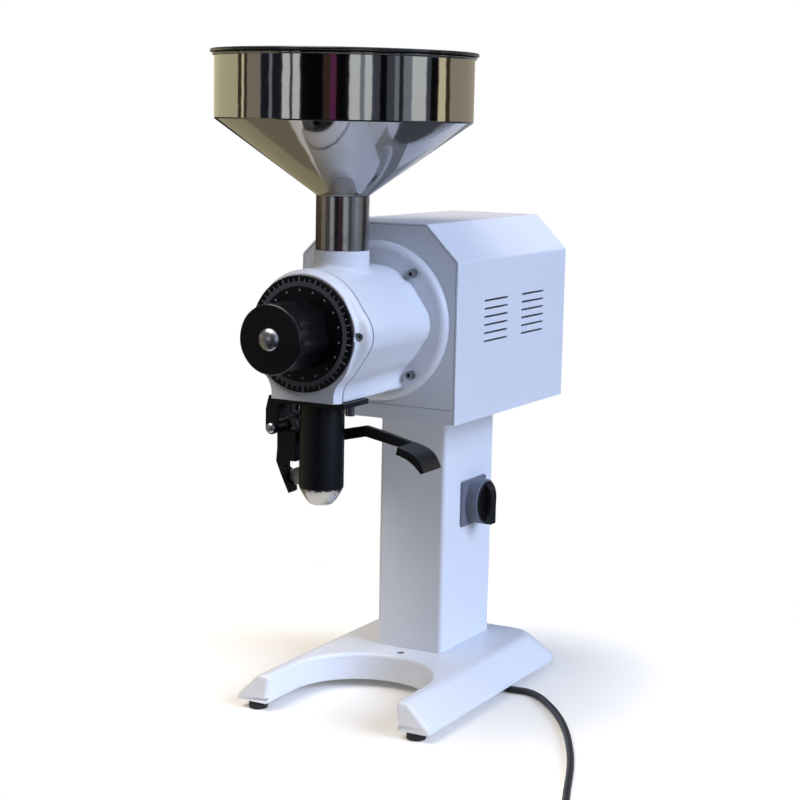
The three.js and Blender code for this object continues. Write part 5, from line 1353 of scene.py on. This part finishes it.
# %% Hopper and lid
neck_low = collar_top + 0.3
cone_low = neck_low + 50.8
cone_high = cone_low + 68.1
hopper_top = cone_high + 59.7
slope = math.degrees(math.atan2(95, 68.1))
outside = [
    (21.9, neck_low - 15),
    (21.9, neck_low),
    (25, neck_low),
    (25, cone_low - 1.0),
    (25.2, cone_low - 0.2),
    (25.9, cone_low + 0.6),
    *arc(117, cone_high + 1.5, 3, slope - 90, 0, 6),
    (120, hopper_top - 3.2),
    *arc(120.7, hopper_top - 1.3, 1.3, 250, 360, 6),
    *arc(120.7, hopper_top - 1.3, 1.3, 0, 90, 5)[1:],
]
inside = [
    (119, hopper_top),
    (118.4, hopper_top - 0.6),
    (118.4, cone_high + 1.6),
    (23.4, cone_low + 1.6),
    (23.4, neck_low + 1.6),
    (20.3, neck_low + 1.6),
    (20.3, neck_low - 15),
    (21.9, neck_low - 15),
]
hopper = spun(outside + inside, "Z", (0, hopper_y, 0), 192)
piece("spun_hopper", hopper, "hopper", mirror_steel, ["hopper_shell"], crease=30)
lid_low = hopper_top + 0.3
lid_top = lid_low + 3
lid = [
    (0, lid_low - 5),
    (116.5, lid_low - 5),
    (116.5, lid_low),
    (123.4, lid_low),
    (124, lid_low + 0.6),
    (124, lid_top - 0.9),
    (123.1, lid_top),
    (112, lid_top),
    (111.4, lid_top - 0.6),
    (109.6, lid_top - 0.6),
    (109, lid_top),
    (34, lid_top),
    (33.4, lid_top - 0.6),
    (0, lid_top - 0.6),
]
piece("moulded_lid", spun(lid, "Z", (0, hopper_y, 0), 160), "lid", lid_plastic, ["hopper_lid"])

# %% [markdown]
# ## Switch
# A grey plate is screwed to the column's right side. A ribbed barrel stands on it, and the
# black rotary knob turns in the barrel: a disc with a raised grip.

# %% Switch
switch_y, switch_z = 143.5, 188.5
plate_start = 38.55
plate_face = plate_start + 3.2
backing = plate(rounded_box(141.2, switch_z, 27.25, 24, 3, 6), "X", plate_start, plate_face)
soften(backing, 1.2, 3, 60, lambda e: min(v.co.x for v in e.verts) > plate_face - 0.1)
barrel_end = plate_start + 15.5
ribs = [(0, plate_face - 1), (23.5, plate_face - 1)]
for k in range(5):
    x = plate_face + 1.4 + 2.1 * k
    ribs += [(23.5, x), (22.9, x + 0.35), (22.9, x + 0.75), (23.5, x + 1.1)]
ribs += [(23.5, barrel_end - 0.8), (23.3, barrel_end - 0.3), (22.7, barrel_end), (0, barrel_end)]
switch_body = join(backing, spun(ribs, "X", (0, switch_y, switch_z), 96))
piece("switch_body", switch_body, "stand", grey_abs, ["switch_housing"])
disc_low, disc_face = barrel_end + 0.3, barrel_end + 1.9
grip_top = disc_face + 7
profile = [(disc_face - 0.8, -23), (grip_top, -23), (grip_top, 4), *eased([(grip_top, 4), (grip_top - 0.7, 10), (grip_top - 2.6, 15.5), (disc_face - 0.8, 20.5)])[1:]]
grip = soften(plate(profile, "Y", -6, 6), 1.3, 3, 50)
bmesh.ops.translate(grip, verts=grip.verts, vec=(0, switch_y, switch_z))
knob_disc = spun(rod(21.5, disc_low, disc_face, 0.4), "X", (0, switch_y, switch_z), 80)
piece("switch_grip", join(knob_disc, grip), "switch", black_abs, ["switch_knob"])

# %% [markdown]
# ## Inside the machine
# The motor, the burrs and the auger are closed in, so their CAD shapes stay as they are and only
# take their real finishes.

# %% Finishes of the inner parts
inner = {
    "drive_shaft": ground_steel,
    "stationary_burr": ground_steel,
    "rotating_burr": ground_steel,
    "burr_nut": zinc_plate,
    "front_bearing": bearing_steel,
    "rear_bearing": bearing_steel,
    "stator_pack": winding,
    "cooling_fan": black_abs,
    "run_capacitor": grey_abs,
    "motor_frame": cast_iron,
    "motor_end_shield": cast_iron,
    "rotor": cast_iron,
    "feed_auger": cast_iron,
    "burr_spider": cast_iron,
    "burr_carrier": cast_iron,
}
for name, material in inner.items():
    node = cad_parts[name]
    node.data.materials.clear()
    node.data.materials.append(material)
shown = [n for n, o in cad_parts.items() if not o.hide_render]
print("CAD nodes that still show:", sorted(set(shown) - set(inner)))

# %% View settings
bpy.context.scene.view_settings.view_transform = "Standard"
